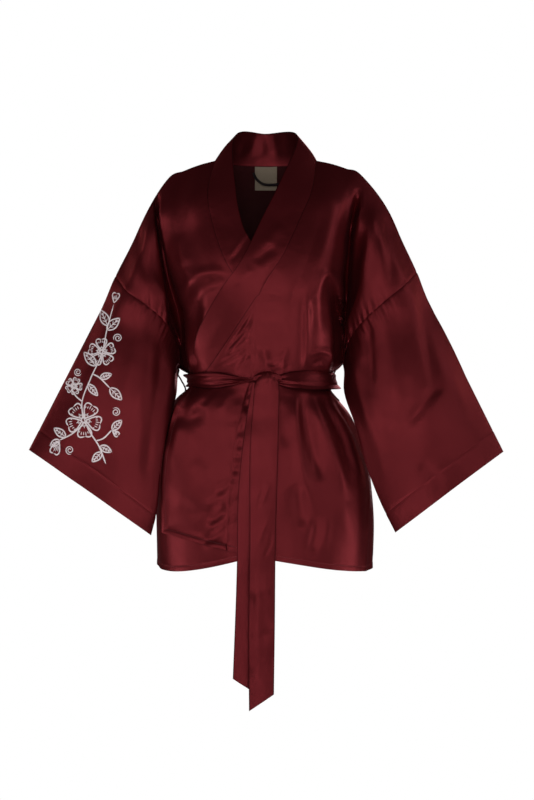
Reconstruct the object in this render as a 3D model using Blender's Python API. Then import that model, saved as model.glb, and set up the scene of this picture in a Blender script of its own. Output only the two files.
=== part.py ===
import bpy
import numpy as np

# Sizes are in millimetres and become metres when the meshes are made.
# X is across the jacket, Y runs from front to back, Z is up, zero lies between the neck points.
METRE = 0.001
CLOTH = 1.3
DOUBLE_CLOTH = 1.8
SEAM_GAP = 0.34
UNDERARM_PULL = 4.5
BAND_PULL = 0.5
WRAP_LIFT = 6.0
OVERLAP_LIFT = 5.0
SECTION_POWER = 2.3
ROW_STEPS = 3
PANEL_COLUMNS = 11
UNDERARM_ROW = 5
BAND_TOP_ROW = 4
BAND_END_ROW = 6
LAST_ROW = 9
SHOULDER_RISE = 3

# Hollow body sections: height, left edge, right edge, front depth, back depth.
BODY = np.array((
    (30, -170, 166, 30, 60),
    (-60, -176, 170, 82, 86),
    (-150, -176, 165, 110, 97),
    (-250, -168, 158, 118, 98),
    (-330, -154, 149, 113, 93),
    (-368, -144, 135, 105, 89),
    (-382, -139, 121, 101, 86),
    (-412, -141, 121, 101, 86),
    (-440, -152, 135, 107, 91),
    (-500, -174, 166, 120, 102),
    (-580, -191, 188, 131, 115),
    (-740, -196, 194, 141, 128),
), float)

# Upper rows: seam x, seam z, fold x, fold z, front fold y, back fold y,
# arm x, arm z, front arm y, back arm y, edge x, edge z, front edge y, back edge y.
UPPER_RIGHT = (
    (92, 0, 172, -26, 6, 6, 222, -93, 0, 0, 267, -205, -12, -12),
    (82, -61, 157, -86, -34, 40, 206, -150, -52, 42, 241, -231, -50, 34),
    (62, -110, 150, -146, -30, 38, 185, -200, -58, 46, 210, -259, -58, 40),
    (32, -176, 146, -206, -24, 34, 165, -248, -48, 40, 176, -290, -48, 36),
    (-11, -249, 143, -268, -20, 28, 148, -298, -32, 30, 149, -325, -26, 24),
)
UPPER_LEFT = (
    (-92, 0, -176, -32, 6, 6, -216, -96, 0, 0, -266, -212, -12, -12),
    (-104, -60, -189, -100, -32, 40, -222, -168, -46, 42, -243, -241, -50, 34),
    (-96, -117, -186, -165, -30, 38, -208, -212, -56, 46, -214, -264, -58, 40),
    (-74, -183, -171, -226, -24, 34, -181, -260, -46, 40, -181, -294, -48, 36),
    (-39, -248, -151, -288, -20, 28, -157, -318, -32, 30, -158, -338, -26, 24),
)
# Lower rows: panel seam x, panel seam z, side seam z, sag between them.
LOWER_RIGHT = (
    (-21, -338, -368, 0), (-24, -389, -397, 0), (-46, -467, -478, 0),
    (-60, -570, -588, 3), (-67, -693, -735, 10),
)
LOWER_LEFT = (
    (-14, -338, -371, 0), (0, -389, -398, 0), (24, -467, -480, 0),
    (44, -570, -588, 5), (58, -685, -727, 17),
)
# Free side of each overlap panel from the band's start to the hem: x, z.
OVERLAP_RIGHT = ((-16, -252), (-76, -341), (-111, -389), (-168, -466), (-182, -571), (-181, -666))
OVERLAP_LEFT = ((-33, -251), (39, -342), (78, -389), (108, -464), (122, -571), (117, -673))
# Free edge of the neck band from the back to its end: x, z, with y for the standing part.
BAND_STAND_RIGHT = ((0, 57, 54), (57, 14, 46), (27, -64, -40))
BAND_STAND_LEFT = ((0, 57, 54), (-56, 14, 45), (-53, -64, -58))
BAND_LAID_RIGHT = ((-8, -114), (-43, -187), (-83, -245), (-121, -315), (-131, -387))
BAND_LAID_LEFT = ((-41, -122), (-23, -158), (10, -220), (76, -309), (110, -379))
NECK_BACK = (0, 70, -5)
# Cuff ends of the sleeves: outer x, z, inner x, z.
CUFF_RIGHT = (423, -524, 230, -666)
CUFF_LEFT = (-422, -521, -204, -671)
CUFF_RISE = 5
CUFF_FORWARD = (-42, -62)
CUFF_DEPTH = 44
SLEEVE_RINGS = 7
CUFF_START = 0.885
# Sleeve's inner edge along its length: share, forward shift, shift to the right of each sleeve.
INNER_EDGE = np.array((
    (0, 0, 0, 0),
    (0.05, -18, -2, -10),
    (0.15, -42, -11, -9),
    (0.35, -58, -14, -9),
    (0.65, -46, -19, -4),
    (0.85, -30, -12, -1),
    (1, -12, -1, 1),
), float)

BELT_Z = -397
BELT_LIFT = (10.5, 6.0)
BELT_ENDS = (2.6, 1.4)
# Belt half height by angle round the waist from the front.
BELT_HALF = ((-180, 16), (-90, 15), (-55, 8), (-35, 8), (-11, 5), (0, 5), (14, 5), (40, 15), (90, 16), (180, 16))
KNOT_AT = (4, -119.5, -393)
KNOT_HALF = (22, 8, 14)
# Tails: z, left x, right x.
TAIL_FRONT = ((-408.75, -20, 24), (-500, -27, 22), (-680, -28, 17), (-835, -30, 15.5), (-954, -29, 14))
TAIL_BACK = ((-401.8, -24, 20), (-470, -35, 10), (-590, -48, 1), (-715, -50, -2), (-928, -57, -11))
TAIL_LIFT = (17.2, 11)
TAIL_TIPS = (14, -15)
LABEL_HALF = 20
# Label rows, in rows of the back panel.
LABEL_ROWS = (0.16, 1 / 3, 2 / 3, 0.98)
LABEL_LIFT = 0.5
LABEL_THICK = 1.0
LOOP_RADIUS = 1.7
# Belt loops: angle round the waist, lift of the ends, z of the lower end.
BELT_LOOPS = {"belt_loop_left": (1.2, 6.0, -434), "belt_loop_right": (-1.32, 2.6, -426)}
# Hanging loop at the back of the neck: distance across, row of the back panel, lift off it.
HANG_LOOP = ((-23, 0.2, 2.1), (-17, 0.42, 5), (-4, 0.58, 5.6), (15, 0.6, 6.4), (26, 0.56, 2.1))

BURGUNDY = (0.085, 0.008, 0.012, 1)
BURGUNDY_DARK = (0.05, 0.005, 0.008, 1)
CREAM = (0.52, 0.44, 0.36, 1)
NEAR_BLACK = (0.012, 0.006, 0.008, 1)


def clear():
    for thing in list(bpy.data.objects):
        bpy.data.objects.remove(thing, do_unlink=True)


def material(name, colour, roughness):
    made = bpy.data.materials.new(name)
    made.use_nodes = True
    shader = made.node_tree.nodes["Principled BSDF"]
    shader.inputs["Base Color"].default_value = colour
    shader.inputs["Roughness"].default_value = roughness
    shader.inputs["Metallic"].default_value = 0.0
    return made


def smooth(at, stations, values):
    # A curve through the table's values whose slope at a station comes from its neighbours.
    order = np.argsort(stations)
    stations = np.asarray(stations, float)[order]
    values = np.asarray(values, float)[order]
    slope = np.gradient(values, stations)
    at = np.clip(np.asarray(at, float), stations[0], stations[-1])
    i = np.clip(np.searchsorted(stations, at, side="right") - 1, 0, len(stations) - 2)
    width = stations[i + 1] - stations[i]
    t = (at - stations[i]) / width
    rise = values[i] * (1 + 2 * t) * (1 - t) ** 2 + values[i + 1] * t * t * (3 - 2 * t)
    return rise + width * (slope[i] * t * (1 - t) ** 2 - slope[i + 1] * t * t * (1 - t))


def basis(at, count, breaks=()):
    # Weights of the control points for a curve through them that may turn sharply at the breaks.
    rows = np.zeros((len(at), count))
    for row, place in zip(rows, at):
        i = int(min(max(np.floor(place), 0), count - 2))
        t = place - i
        row[i] += (1 + 2 * t) * (1 - t) ** 2
        row[i + 1] += t * t * (3 - 2 * t)
        first = (i, i + 1) if i == 0 or i in breaks else (i - 1, i + 1)
        last = (i, i + 1) if i == count - 2 or i + 1 in breaks else (i, i + 2)
        for (a, b), weight in ((first, t * (1 - t) ** 2), (last, -t * t * (1 - t))):
            row[b] += weight / (b - a)
            row[a] -= weight / (b - a)
    return rows


def ease(t):
    t = np.clip(t, 0, 1)
    return t * t * (3 - 2 * t)


def patch(control, across, down, edge_columns, corner_columns=()):
    # A surface through a net of control points. The named edge columns turn sharply at the underarm
    # and the top row turns sharply at the corner columns.
    rows, columns = control.shape[:2]
    plain_v = basis(down, rows)
    sharp_v = basis(down, rows, (UNDERARM_ROW,))
    plain_u = basis(across, columns)
    sharp_u = basis(across, columns, corner_columns)
    top = (1 - ease(down))[:, None, None]
    side = sum(1 - ease(np.abs(across - column)) for column in edge_columns)[None, :, None]

    def woven(v, u):
        return np.einsum("vi,uj,ijk->vuk", v, u, control)

    plain = woven(plain_v, plain_u) * (1 - top) + woven(plain_v, sharp_u) * top
    sharp = woven(sharp_v, plain_u) * (1 - top) + woven(sharp_v, sharp_u) * top
    return plain * (1 - side) + sharp * side


def section(z):
    left, right, front, back = (smooth(z, BODY[:, 0], BODY[:, k]) for k in (1, 2, 3, 4))
    return (left + right) / 2, (right - left) / 2, front, back


def front_y(x, z, lift=0.0):
    middle, half, front, _ = section(z)
    share = np.clip(np.abs(x - middle) / (half + lift), 0, 1)
    return -(front + lift) * (1 - share ** SECTION_POWER) ** (1 / SECTION_POWER)


def round_body(angle, z, lift):
    # The point of the body section at an angle from the front, moved out by the lift.
    middle, half, front, back = section(z)
    sine, cosine = np.sin(angle), np.cos(angle)
    power = 2 / SECTION_POWER
    depth = np.where(cosine > 0, front, back) + lift
    x = middle + (half + lift) * np.sign(sine) * np.abs(sine) ** power
    return np.stack([x, -np.sign(cosine) * depth * np.abs(cosine) ** power, z + 0 * x], -1)


def lower_row(start, z_start, z_end, sag, side, lift, backward=False):
    # Five steps round the body from the panel's seam to the side seam.
    middle, half, _, _ = section(z_start)
    first = np.arcsin(np.clip(side * (start - middle) / half, -1, 1) * 0.999)
    first = np.sign(first) * np.abs(np.sin(first)) ** (SECTION_POWER / 2)
    first = np.arcsin(first)
    share = np.linspace(0, 1, 6)
    angle = first + (np.pi / 2 - first) * share
    if backward:
        angle = np.pi - angle
    z = z_start + (z_end - z_start) * share - sag * np.sin(np.pi * share)
    return round_body(side * angle, z, lift * (1 - share ** 2))


def front_net(upper, lower, side, lift):
    net = []
    for k, (sx, sz, fx, fz, fy, _, ax, az, ay, _, ex, ez, ey, _) in enumerate(upper):
        row = [(sx, 10, sz)]
        for share in (1 / 3, 2 / 3):
            x, z = sx + (fx - sx) * share, sz + (fz - sz) * share
            row.append((x, 9, z + SHOULDER_RISE) if k == 0 else (x, front_y(x, z, lift * (k > 1)), z))
        if k:
            row[0] = (sx, front_y(sx, sz, lift * (k > 1)), sz)
        net.append(row + [(fx, fy, fz), (ax, ay, az), (ex, ey, ez)])
    net[1][0] = (net[1][0][0], net[1][0][1] + 8, net[1][0][2])
    for sx, sz, ez, sag in lower:
        net.append(lower_row(sx, sz, ez, sag, side, lift))
    return np.array(net, float)


def back_half(upper, lower, side):
    net = []
    for k, (sx, sz, fx, fz, _, fy, ax, az, _, ay, ex, ez, _, ey) in enumerate(upper):
        inner = side * (92 - 3 * k)
        top = 0 if k == 0 else -60 * k
        row = [(inner, 10, sz)] if k == 0 else [(inner, -back_y(inner, top), top)]
        for share in (1 / 3, 2 / 3):
            x, z = inner + (fx - inner) * share, top + (fz - top) * share
            row.append((x, 9, z + SHOULDER_RISE) if k == 0 else (x, -back_y(x, z), z))
        net.append(row + [(fx, fy, fz), (ax, ay, az), (ex, ey, ez)])
    for k, (_, _, ez, _) in enumerate(lower):
        net.append(lower_row(side * (77 - 2 * k), ez + 12, ez, 0, side, 0, True))
    return np.array(net, float)


def back_y(x, z):
    middle, half, _, back = section(z)
    share = np.clip(np.abs(x - middle) / half, 0, 1)
    return -back * (1 - share ** SECTION_POWER) ** (1 / SECTION_POWER)


def back_net():
    right = back_half(UPPER_RIGHT, LOWER_RIGHT, 1)
    left = back_half(UPPER_LEFT, LOWER_LEFT, -1)
    centre = (right[:, :1] + left[:, :1]) / 2
    z = centre[:, 0, 2] - 6
    centre[:, 0, 1] = -back_y(centre[:, 0, 0], z)
    centre[0, 0] = NECK_BACK
    ring = (right[0, 0] + left[0, 0]) / 2
    quarter = []
    for half in (left, right):
        middle = (half[:, :1] + centre) / 2
        middle[:, 0, 1] = -back_y(middle[:, 0, 0], middle[:, 0, 2])
        middle[0, 0] = ring + (half[0, 0] - ring) * 0.71 + (centre[0, 0] - ring) * 0.71
        quarter.append(middle)
    return np.concatenate([left[:, ::-1], quarter[0], centre, quarter[1], right], 1)


def overlap(edge, free, lift, extra):
    # Rows from the panel seam to the free side, laid on the body's front.
    rows = len(edge)
    at = np.linspace(0, len(free) - 1, rows)
    side = basis(at, len(free)) @ np.array(free, float)
    share = np.linspace(0, 1, 5)[None, :]
    x = edge[:, :1] + (side[:, :1] - edge[:, :1]) * share
    z = edge[:, 2:] + (side[:, 1:] - edge[:, 2:]) * share
    error = edge[:, 1] - front_y(edge[:, 0], edge[:, 2], lift)
    full = lift + extra * ease((at[:, None] - 2.1) / 0.8) * share ** 1.5
    y = front_y(x, z, full) + error[:, None] * (1 - share) ** 2
    return np.stack([x, y, z], -1)


def band(seam, places, lift):
    # Strip from the seam round the neck to the band's free edge, a little full across its width.
    table = [(x, y, z) for x, y, z in BAND_STAND_LEFT[:0:-1]]
    left = [(x, front_y(x, z, 1.0), z) for x, z in BAND_LAID_LEFT[::-1]]
    right = [(x, front_y(x, z, lift + 1), z) for x, z in BAND_LAID_RIGHT]
    table = np.array(left + table + list(BAND_STAND_RIGHT) + right, float)
    free = basis(places, len(table)) @ table
    share = np.linspace(0, 1, 4)[None, :, None]
    strip = seam[:, None] * (1 - share) + free[:, None] * share
    along = np.gradient(seam, axis=0)[:, None]
    out = np.cross(along, free[:, None] - seam[:, None])
    out /= np.linalg.norm(out, axis=2, keepdims=True)
    return strip - out * 2.0 * 4 * share * (1 - share)


def sleeve(front_edge, back_edge, cuff, column):
    # Rings from the armhole seam to the cuff. Each ring runs down the front and up the back.
    ring = np.concatenate([front_edge, back_edge[-2:0:-1]])
    steps = len(front_edge) - 1
    place = np.concatenate([np.arange(steps + 1), np.arange(steps - 1, 0, -1)]) / steps
    face = np.concatenate([-np.ones(steps + 1), np.ones(steps - 1)])
    outer = np.array((cuff[0], CUFF_FORWARD[0], cuff[1]), float)
    inner = np.array((cuff[2], CUFF_FORWARD[1], cuff[3]), float)
    lens = np.sin(np.pi * place) ** 0.75
    end = outer + (inner - outer) * place[:, None]
    end[:, 1] += face * CUFF_DEPTH * lens
    end[:, 2] += CUFF_RISE * lens
    share = np.linspace(0, CUFF_START, SLEEVE_RINGS)
    share = np.concatenate([share, np.linspace(CUFF_START, 1, 3)[1:]])[:, None]
    rings = ring[None] * (1 - share[..., None]) + end[None] * share[..., None]
    forward = smooth(share, INNER_EDGE[:, 0], INNER_EDGE[:, 1])
    rings[..., 0] += smooth(share, INNER_EDGE[:, 0], INNER_EDGE[:, column]) * place ** 4
    rings[..., 1] += forward * place ** 2 + face * 10 * np.sin(np.pi * share) * lens
    return rings


def tail(table, lift, tip, columns=3):
    table = np.array(table, float)
    z = np.linspace(table[0, 0], table[-1, 0], 14)
    left = smooth(z, table[:, 0], table[:, 1])
    right = smooth(z, table[:, 0], table[:, 2])
    share = np.linspace(0, 1, columns)[None, :]
    x = left[:, None] + (right - left)[:, None] * share
    hang = front_y(0 * z, np.maximum(z, -738), lift)
    drop = np.linspace(0, 1, len(z))[:, None] ** 4 * tip
    y = hang[:, None] - 2.0 * np.sin(np.pi * share)
    return np.stack([x, y + 0 * x, z[:, None] - drop * (0.5 - share) * 2], -1)


def belt():
    angle = np.radians(np.linspace(BELT_ENDS[0], 360 + BELT_ENDS[1], 34))
    turn = np.degrees(np.arctan2(np.sin(angle), np.cos(angle)))
    table = np.array(BELT_HALF, float)
    half = smooth(turn, table[:, 0], table[:, 1])
    lift = BELT_LIFT[1] + (BELT_LIFT[0] - BELT_LIFT[1]) * ease((np.cos(angle) + 0.1) / 0.5)
    rows = []
    for share, full in ((-1, 0), (0, 1.2), (1, 0)):
        rows.append(round_body(angle, BELT_Z + share * half, lift + full))
    return np.array(rows)


def unit(vectors):
    return vectors / np.maximum(np.linalg.norm(vectors, axis=-1, keepdims=True), 1e-9)


def normals(grid, ring):
    if ring:
        across = np.roll(grid, -1, 1) - np.roll(grid, 1, 1)
    else:
        across = np.gradient(grid, axis=1)
    return unit(np.cross(across, np.gradient(grid, axis=0)))


def shared_normals(pieces):
    # Pieces that meet at a seam lean the same way there, so their walls meet and never cross.
    points = np.concatenate([p["grid"].reshape(-1, 3) for p in pieces])
    own = np.concatenate([p["normal"].reshape(-1, 3) for p in pieces])
    _, place = np.unique(np.round(points, 2), axis=0, return_inverse=True)
    place = place.reshape(-1)
    mean = own.copy()
    order = np.argsort(place, kind="stable")
    for group in np.split(order, np.flatnonzero(np.diff(place[order])) + 1):
        if len(group) > 1:
            alike = (own[group] @ own[group].T) > -0.9
            mean[group] = unit(alike @ own[group])
    start = 0
    for piece in pieces:
        count = piece["grid"].shape[0] * piece["grid"].shape[1]
        piece["lean"] = mean[start:start + count].reshape(piece["grid"].shape)
        start += count


def pulled_back(grid, ring, first, last):
    # Every edge stops short of its seam. The first and last rows have distances of their own.
    amount = SEAM_GAP / 2
    moved = grid.copy()
    moved[0] += unit(grid[1] - grid[0]) * first
    moved[-1] += unit(grid[-2] - grid[-1]) * last
    if not ring:
        moved[:, 0] += unit(grid[:, 1] - grid[:, 0]) * amount
        moved[:, -1] += unit(grid[:, -2] - grid[:, -1]) * amount
    return moved


def add_mesh(name, points, faces, surface):
    mesh = bpy.data.meshes.new(name)
    mesh.from_pydata((points * METRE).tolist(), [], faces)
    mesh.materials.append(surface)
    mesh.update()
    thing = bpy.data.objects.new(name, mesh)
    bpy.context.scene.collection.objects.link(thing)
    return thing


def wall(piece):
    # Two skins, the second moved in along the lean, closed along every rim.
    grid, ring = piece["grid"], piece.get("ring", False)
    first, last = piece.get("first", SEAM_GAP / 2), piece.get("last", SEAM_GAP / 2)
    outer = pulled_back(grid, ring, first, last)
    inner = pulled_back(grid - piece["lean"] * piece["thick"], ring, first, last)
    rows, columns = grid.shape[:2]
    index = np.arange(rows * columns).reshape(rows, columns)
    if ring:
        index = np.concatenate([index, index[:, :1]], 1)
    skin = np.stack([index[:-1, :-1], index[:-1, 1:], index[1:, 1:], index[1:, :-1]], -1).reshape(-1, 4)
    back = rows * columns
    faces = list(skin) + list(skin[:, ::-1] + back)
    rims = [index[0, ::-1], index[-1]]
    if not ring:
        rims += [index[:, 0], index[::-1, -1]]
    for rim in rims:
        faces += list(np.stack([rim[:-1], rim[1:], rim[1:] + back, rim[:-1] + back], -1))
    points = np.concatenate([outer.reshape(-1, 3), inner.reshape(-1, 3)])
    add_mesh(piece["name"], points, [face.tolist() for face in faces], piece["surface"])


def tube(name, path, radius, surface, count=8):
    path = np.array(path, float)
    at = np.linspace(0, len(path) - 1, 13)
    line = basis(at, len(path)) @ path
    along = unit(np.gradient(line, axis=0))
    first = unit(np.cross(along, np.array((0.31, 0.93, 0.17))))
    second = np.cross(along, first)
    turn = np.linspace(0, 2 * np.pi, count, endpoint=False)[None, :, None]
    rings = line[:, None] + radius * (np.cos(turn) * first[:, None] + np.sin(turn) * second[:, None])
    index = np.arange(len(at) * count).reshape(len(at), count)
    after = np.roll(index, -1, 1)
    sides = np.stack([index[:-1], after[:-1], after[1:], index[1:]], -1).reshape(-1, 4)
    faces = sides.tolist() + [index[0, ::-1].tolist(), index[-1].tolist()]
    add_mesh(name, rings.reshape(-1, 3), faces, surface)


def knot(surface):
    # Rounded bundle, flatter at the top and bottom than a ball.
    ring = np.linspace(0, 2 * np.pi, 14, endpoint=False)
    level = np.linspace(-1, 1, 9)[1:-1] * np.pi / 2
    c, s = np.cos(level)[:, None] ** 0.7, np.sin(level)[:, None]
    x = KNOT_HALF[0] * c * np.sign(np.cos(ring)) * np.abs(np.cos(ring)) ** 0.8
    y = KNOT_HALF[1] * c * np.sin(ring)
    z = KNOT_HALF[2] * s + 4 * (1 - (x / KNOT_HALF[0]) ** 2) * c - 3
    body = np.stack([x, y, z + 0 * x], -1).reshape(-1, 3)
    ends = np.array(((0, 0, -KNOT_HALF[2] - 1.5), (0, 0, KNOT_HALF[2] - 0.5)))
    points = np.concatenate([body, ends]) + np.array(KNOT_AT)
    index = np.arange(len(body)).reshape(len(level), len(ring))
    after = np.roll(index, -1, 1)
    faces = np.stack([index[:-1], after[:-1], after[1:], index[1:]], -1).reshape(-1, 4).tolist()
    faces += [[b, a, len(body)] for a, b in zip(index[0], after[0])]
    faces += [[a, b, len(body) + 1] for a, b in zip(index[-1], after[-1])]
    add_mesh("belt_knot", points, faces, surface)


def panels(satin):
    down = np.linspace(0, LAST_ROW, LAST_ROW * ROW_STEPS + 1)
    across = np.linspace(0, 5, PANEL_COLUMNS)
    arm = UNDERARM_ROW * ROW_STEPS + 1
    top = BAND_TOP_ROW * ROW_STEPS
    end = BAND_END_ROW * ROW_STEPS
    right = patch(front_net(UPPER_RIGHT, LOWER_RIGHT, 1, WRAP_LIFT), across, down, (5,))
    left = patch(front_net(UPPER_LEFT, LOWER_LEFT, -1, 0.0), across, down, (5,))
    round_back = np.concatenate([across, np.linspace(5, 9, 9)[1:-1], 14 - across[::-1]])
    back = patch(back_net(), round_back, down, (0, 14), (5, 9))
    over_right = overlap(right[top:, 0], OVERLAP_RIGHT, WRAP_LIFT, OVERLAP_LIFT)
    over_left = overlap(left[top:, 0], OVERLAP_LEFT, 0.0, 0.0)
    size = len(across)
    neck = back[0, size - 1:size + 8]
    low = end - top
    seam = [over_left[:low + 1, -1][::-1], left[:top + 1, 0][::-1], neck[1:-1]]
    seam += [right[:top + 1, 0], over_right[:low + 1, -1]]
    places = [np.linspace(0, 1.9, low + 1), np.linspace(2, 6, top + 1), np.linspace(6, 8, 9)[1:-1]]
    places += [np.linspace(8, 12, top + 1), np.linspace(12.1, 14, low + 1)]
    collar = band(np.concatenate(seam), np.concatenate(places), WRAP_LIFT)
    sleeve_right = sleeve(right[:arm, -1], back[:arm, -1], CUFF_RIGHT, 2)
    sleeve_left = sleeve(left[:arm, -1], back[:arm, 0], CUFF_LEFT, 3)
    grids = {
        "back": back, "front_left": right[:, ::-1], "front_right": left,
        "front_left_overlap": over_right, "front_right_overlap": over_left[:, ::-1],
        "collar_band": collar.transpose(1, 0, 2)[::-1],
        "sleeve_left": sleeve_right[:SLEEVE_RINGS], "cuff_band_left": sleeve_right[SLEEVE_RINGS - 1:],
        "sleeve_right": sleeve_left[:SLEEVE_RINGS, ::-1],
        "cuff_band_right": sleeve_left[SLEEVE_RINGS - 1:, ::-1],
    }
    made = []
    for name, grid in grids.items():
        ring = "sleeve" in name or "cuff" in name
        thick = DOUBLE_CLOTH if "band" in name else CLOTH
        made.append({"name": name, "grid": grid, "ring": ring, "thick": thick, "surface": satin})
        if name.startswith("sleeve"):
            lowest = np.linspace(-1, 1, grid.shape[1] + 1)[:-1] * (1 if name == "sleeve_left" else -1)
            made[-1]["first"] = SEAM_GAP / 2 + UNDERARM_PULL * (1 - np.abs(lowest[:, None])) ** 8
        if name == "collar_band":
            made[-1]["last"] = BAND_PULL
    return made


def belt_strips(satin):
    strips = {"belt_waist": belt(), "belt_tail_front": tail(TAIL_FRONT, TAIL_LIFT[0], TAIL_TIPS[0])[:, ::-1]}
    strips["belt_tail_back"] = tail(TAIL_BACK, TAIL_LIFT[1], TAIL_TIPS[1])[:, ::-1]
    return [{"name": n, "grid": g, "thick": DOUBLE_CLOTH, "surface": satin} for n, g in strips.items()]


def inside_back(back, x, rows, lift):
    # Points on the flat facets inside the back panel at distances across and rows down.
    line = np.asarray(rows, float) * ROW_STEPS
    first = np.minimum(line.astype(int), len(back) - 2)
    share = (line - first)[:, None, None]
    strip = back[first] * (1 - share) + back[first + 1] * share
    centre = back.shape[1] // 2
    near = strip[:, centre - 2:centre + 3]
    out = np.array([[[np.interp(a, row[:, 0], row[:, k]) for k in range(3)] for a in x] for row in near])
    out[..., 1] -= CLOTH + lift
    return out


def label(back, surface):
    grid = inside_back(back, np.linspace(-LABEL_HALF, LABEL_HALF, 5), LABEL_ROWS, LABEL_LIFT)
    return {"name": "label", "grid": grid, "thick": LABEL_THICK, "surface": surface}


def hang_path(back):
    return [inside_back(back, [x], [row], lift)[0, 0] for x, row, lift in HANG_LOOP]


def main():
    clear()
    satin = material("satin", BURGUNDY, 0.36)
    inside = material("loop_cord", NEAR_BLACK, 0.6)
    cream = material("label_cloth", CREAM, 0.7)
    cord = material("thread_loop", BURGUNDY_DARK, 0.55)
    pieces = panels(satin)
    back = pieces[0]["grid"]
    pieces += belt_strips(satin)
    pieces.append(label(back, cream))
    for piece in pieces:
        piece["normal"] = normals(piece["grid"], piece.get("ring", False))
    shared_normals(pieces)
    for piece in pieces:
        wall(piece)
    knot(satin)
    tube("hang_loop", hang_path(back), LOOP_RADIUS, inside)
    for name, (angle, end, low) in BELT_LOOPS.items():
        path = []
        for z, lift in ((-366, end), (-380, 13), (-413, 13), (low, end)):
            path.append(round_body(np.array(angle), np.array(float(z)), lift))
        tube(name, path, LOOP_RADIUS, cord)


main()
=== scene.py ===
import bpy
import numpy as np
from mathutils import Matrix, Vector


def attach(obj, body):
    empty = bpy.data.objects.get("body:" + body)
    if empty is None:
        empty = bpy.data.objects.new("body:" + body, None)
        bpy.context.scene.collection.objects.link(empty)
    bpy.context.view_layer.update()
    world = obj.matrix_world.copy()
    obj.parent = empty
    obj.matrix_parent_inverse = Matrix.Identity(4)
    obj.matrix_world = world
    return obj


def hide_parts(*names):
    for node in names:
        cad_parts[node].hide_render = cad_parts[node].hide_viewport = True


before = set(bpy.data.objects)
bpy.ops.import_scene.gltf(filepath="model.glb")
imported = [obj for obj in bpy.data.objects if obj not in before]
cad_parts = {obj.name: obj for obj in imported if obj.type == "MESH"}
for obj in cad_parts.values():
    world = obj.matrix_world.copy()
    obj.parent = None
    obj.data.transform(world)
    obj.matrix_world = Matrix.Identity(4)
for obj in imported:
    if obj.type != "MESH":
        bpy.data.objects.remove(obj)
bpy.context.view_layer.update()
print("frame loaded")

mm = 0.001  # lengths in this file are millimetres until a mesh is made

# The picture: what one of its pixels spans on the plane through the shoulders, and where zero falls in it.
picture = {
    "pixel": 1.8, "zeroAt": (266, 160), "lens": 100, "sensor": 36, "clipEnd": 20,
    "cameraDistance": 4000, "cameraX": 2, "cameraZ": -432,
}

# The cut of the jacket, in the same rows as the solids.
jacket = {
    "cloth": 0.9, "doubleCloth": 1.6, "wrapLift": 6.0, "overlapLift": 5.0, "sectionPower": 2.3,
    "underarmRow": 5, "bandTopRow": 4, "bandEndRow": 6, "lastRow": 10, "shoulderRise": 3,
    "neckY": 10, "shoulderY": 9, "neckEase": 8, "frontColumns": 5, "neckColumns": (5, 9), "backColumns": 14,
    "rowSteps": 19, "columnSteps": 18, "neckSteps": 12, "overlapSteps": 30, "bandSteps": 14,
}

# The back's middle: half widths at the neck and below the arms with what each row takes off them, the drop of
# a row, the rise of the lower rows from the sides, and how deep and how round the neck is scooped.
backCut = {
    "neckHalf": 92, "neckNarrows": 3, "lowHalf": 77, "lowNarrows": 2,
    "rowDrop": 60, "rowRise": 12, "neckDip": 6, "neckRound": 0.71,
}

# Hollow body sections: height, left edge, right edge, front depth, back depth.
bodySections = np.array((
    (30, -170, 166, 30, 60),
    (-60, -176, 170, 73, 86),
    (-110, -177, 168, 90, 93),
    (-150, -176, 165, 105, 97),
    (-190, -173, 162, 119.5, 98),
    (-218, -171, 160, 124, 98),
    (-260, -166, 157, 121, 98),
    (-330, -152, 146, 108, 93),
    (-368, -157, 138, 102, 89),
    (-375, -156, 126, 100, 87),
    (-396, -127, 107, 100, 84),
    (-412, -133, 109, 101, 84),
    (-430, -162, 130, 105, 89),
    (-480, -187, 162, 116, 98),
    (-500, -191, 169, 120, 102),
    (-580, -197, 189, 131, 115),
    (-740, -196, 194, 141, 128),
), float)

# Upper rows: seam x, z, fold x, z, front fold y, back fold y, arm x, z, front arm y, back arm y,
# edge x, z, front edge y, back edge y. The right tables are on the viewer's right.
upperRight = (
    (92, 0, 172, -26, 6, 6, 222, -93, 0, 0, 267, -205, -12, -12),
    (82, -61, 157, -86, -34, 40, 206, -150, -52, 42, 241, -231, -50, 34),
    (62, -110, 150, -146, -30, 38, 185, -200, -58, 46, 210, -259, -58, 40),
    (32, -176, 146, -206, -24, 34, 165, -248, -48, 40, 176, -290, -48, 36),
    (-11, -249, 143, -268, -20, 28, 148, -298, -32, 30, 149, -325, -26, 24),
)
upperLeft = (
    (-92, 0, -176, -32, 6, 6, -216, -96, 0, 0, -266, -212, -12, -12),
    (-104, -60, -189, -100, -32, 40, -222, -168, -46, 42, -243, -241, -50, 34),
    (-96, -117, -186, -165, -30, 38, -208, -212, -56, 46, -214, -264, -58, 40),
    (-74, -183, -171, -226, -24, 34, -181, -260, -46, 40, -181, -294, -48, 36),
    (-39, -248, -151, -288, -20, 28, -157, -318, -32, 30, -158, -338, -26, 24),
)
# Lower rows: panel seam x, panel seam z, side seam z, sag between them.
lowerRight = (
    (-21, -338, -368, 0), (-24, -389, -397, 0), (-32, -421, -430, 0),
    (-46, -467, -478, 0), (-60, -570, -588, 3), (-67, -693, -735, 10),
)
lowerLeft = (
    (-14, -338, -375, 0), (0, -389, -398, 0), (9, -421, -431, 0),
    (24, -467, -480, 0), (44, -570, -588, 5), (58, -685, -727, 24),
)
# How far each side seam stands forward of the body's side in those rows, as an angle.
sideTurn = {1: (0, 0, 0, 0.08, 0.25, 0.46), -1: (0, 0, 0, 0, 0, 0)}
# Free side of each overlap panel from the band's start to the hem: x, z.
overlapRight = (
    (-16, -252), (-76, -341), (-111, -389), (-141, -421), (-167, -466), (-182, -571), (-181, -666),
)
overlapLeft = (
    (-33, -251), (39, -342), (78, -389), (92, -421), (108, -464), (122, -571), (117, -673),
)
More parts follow.
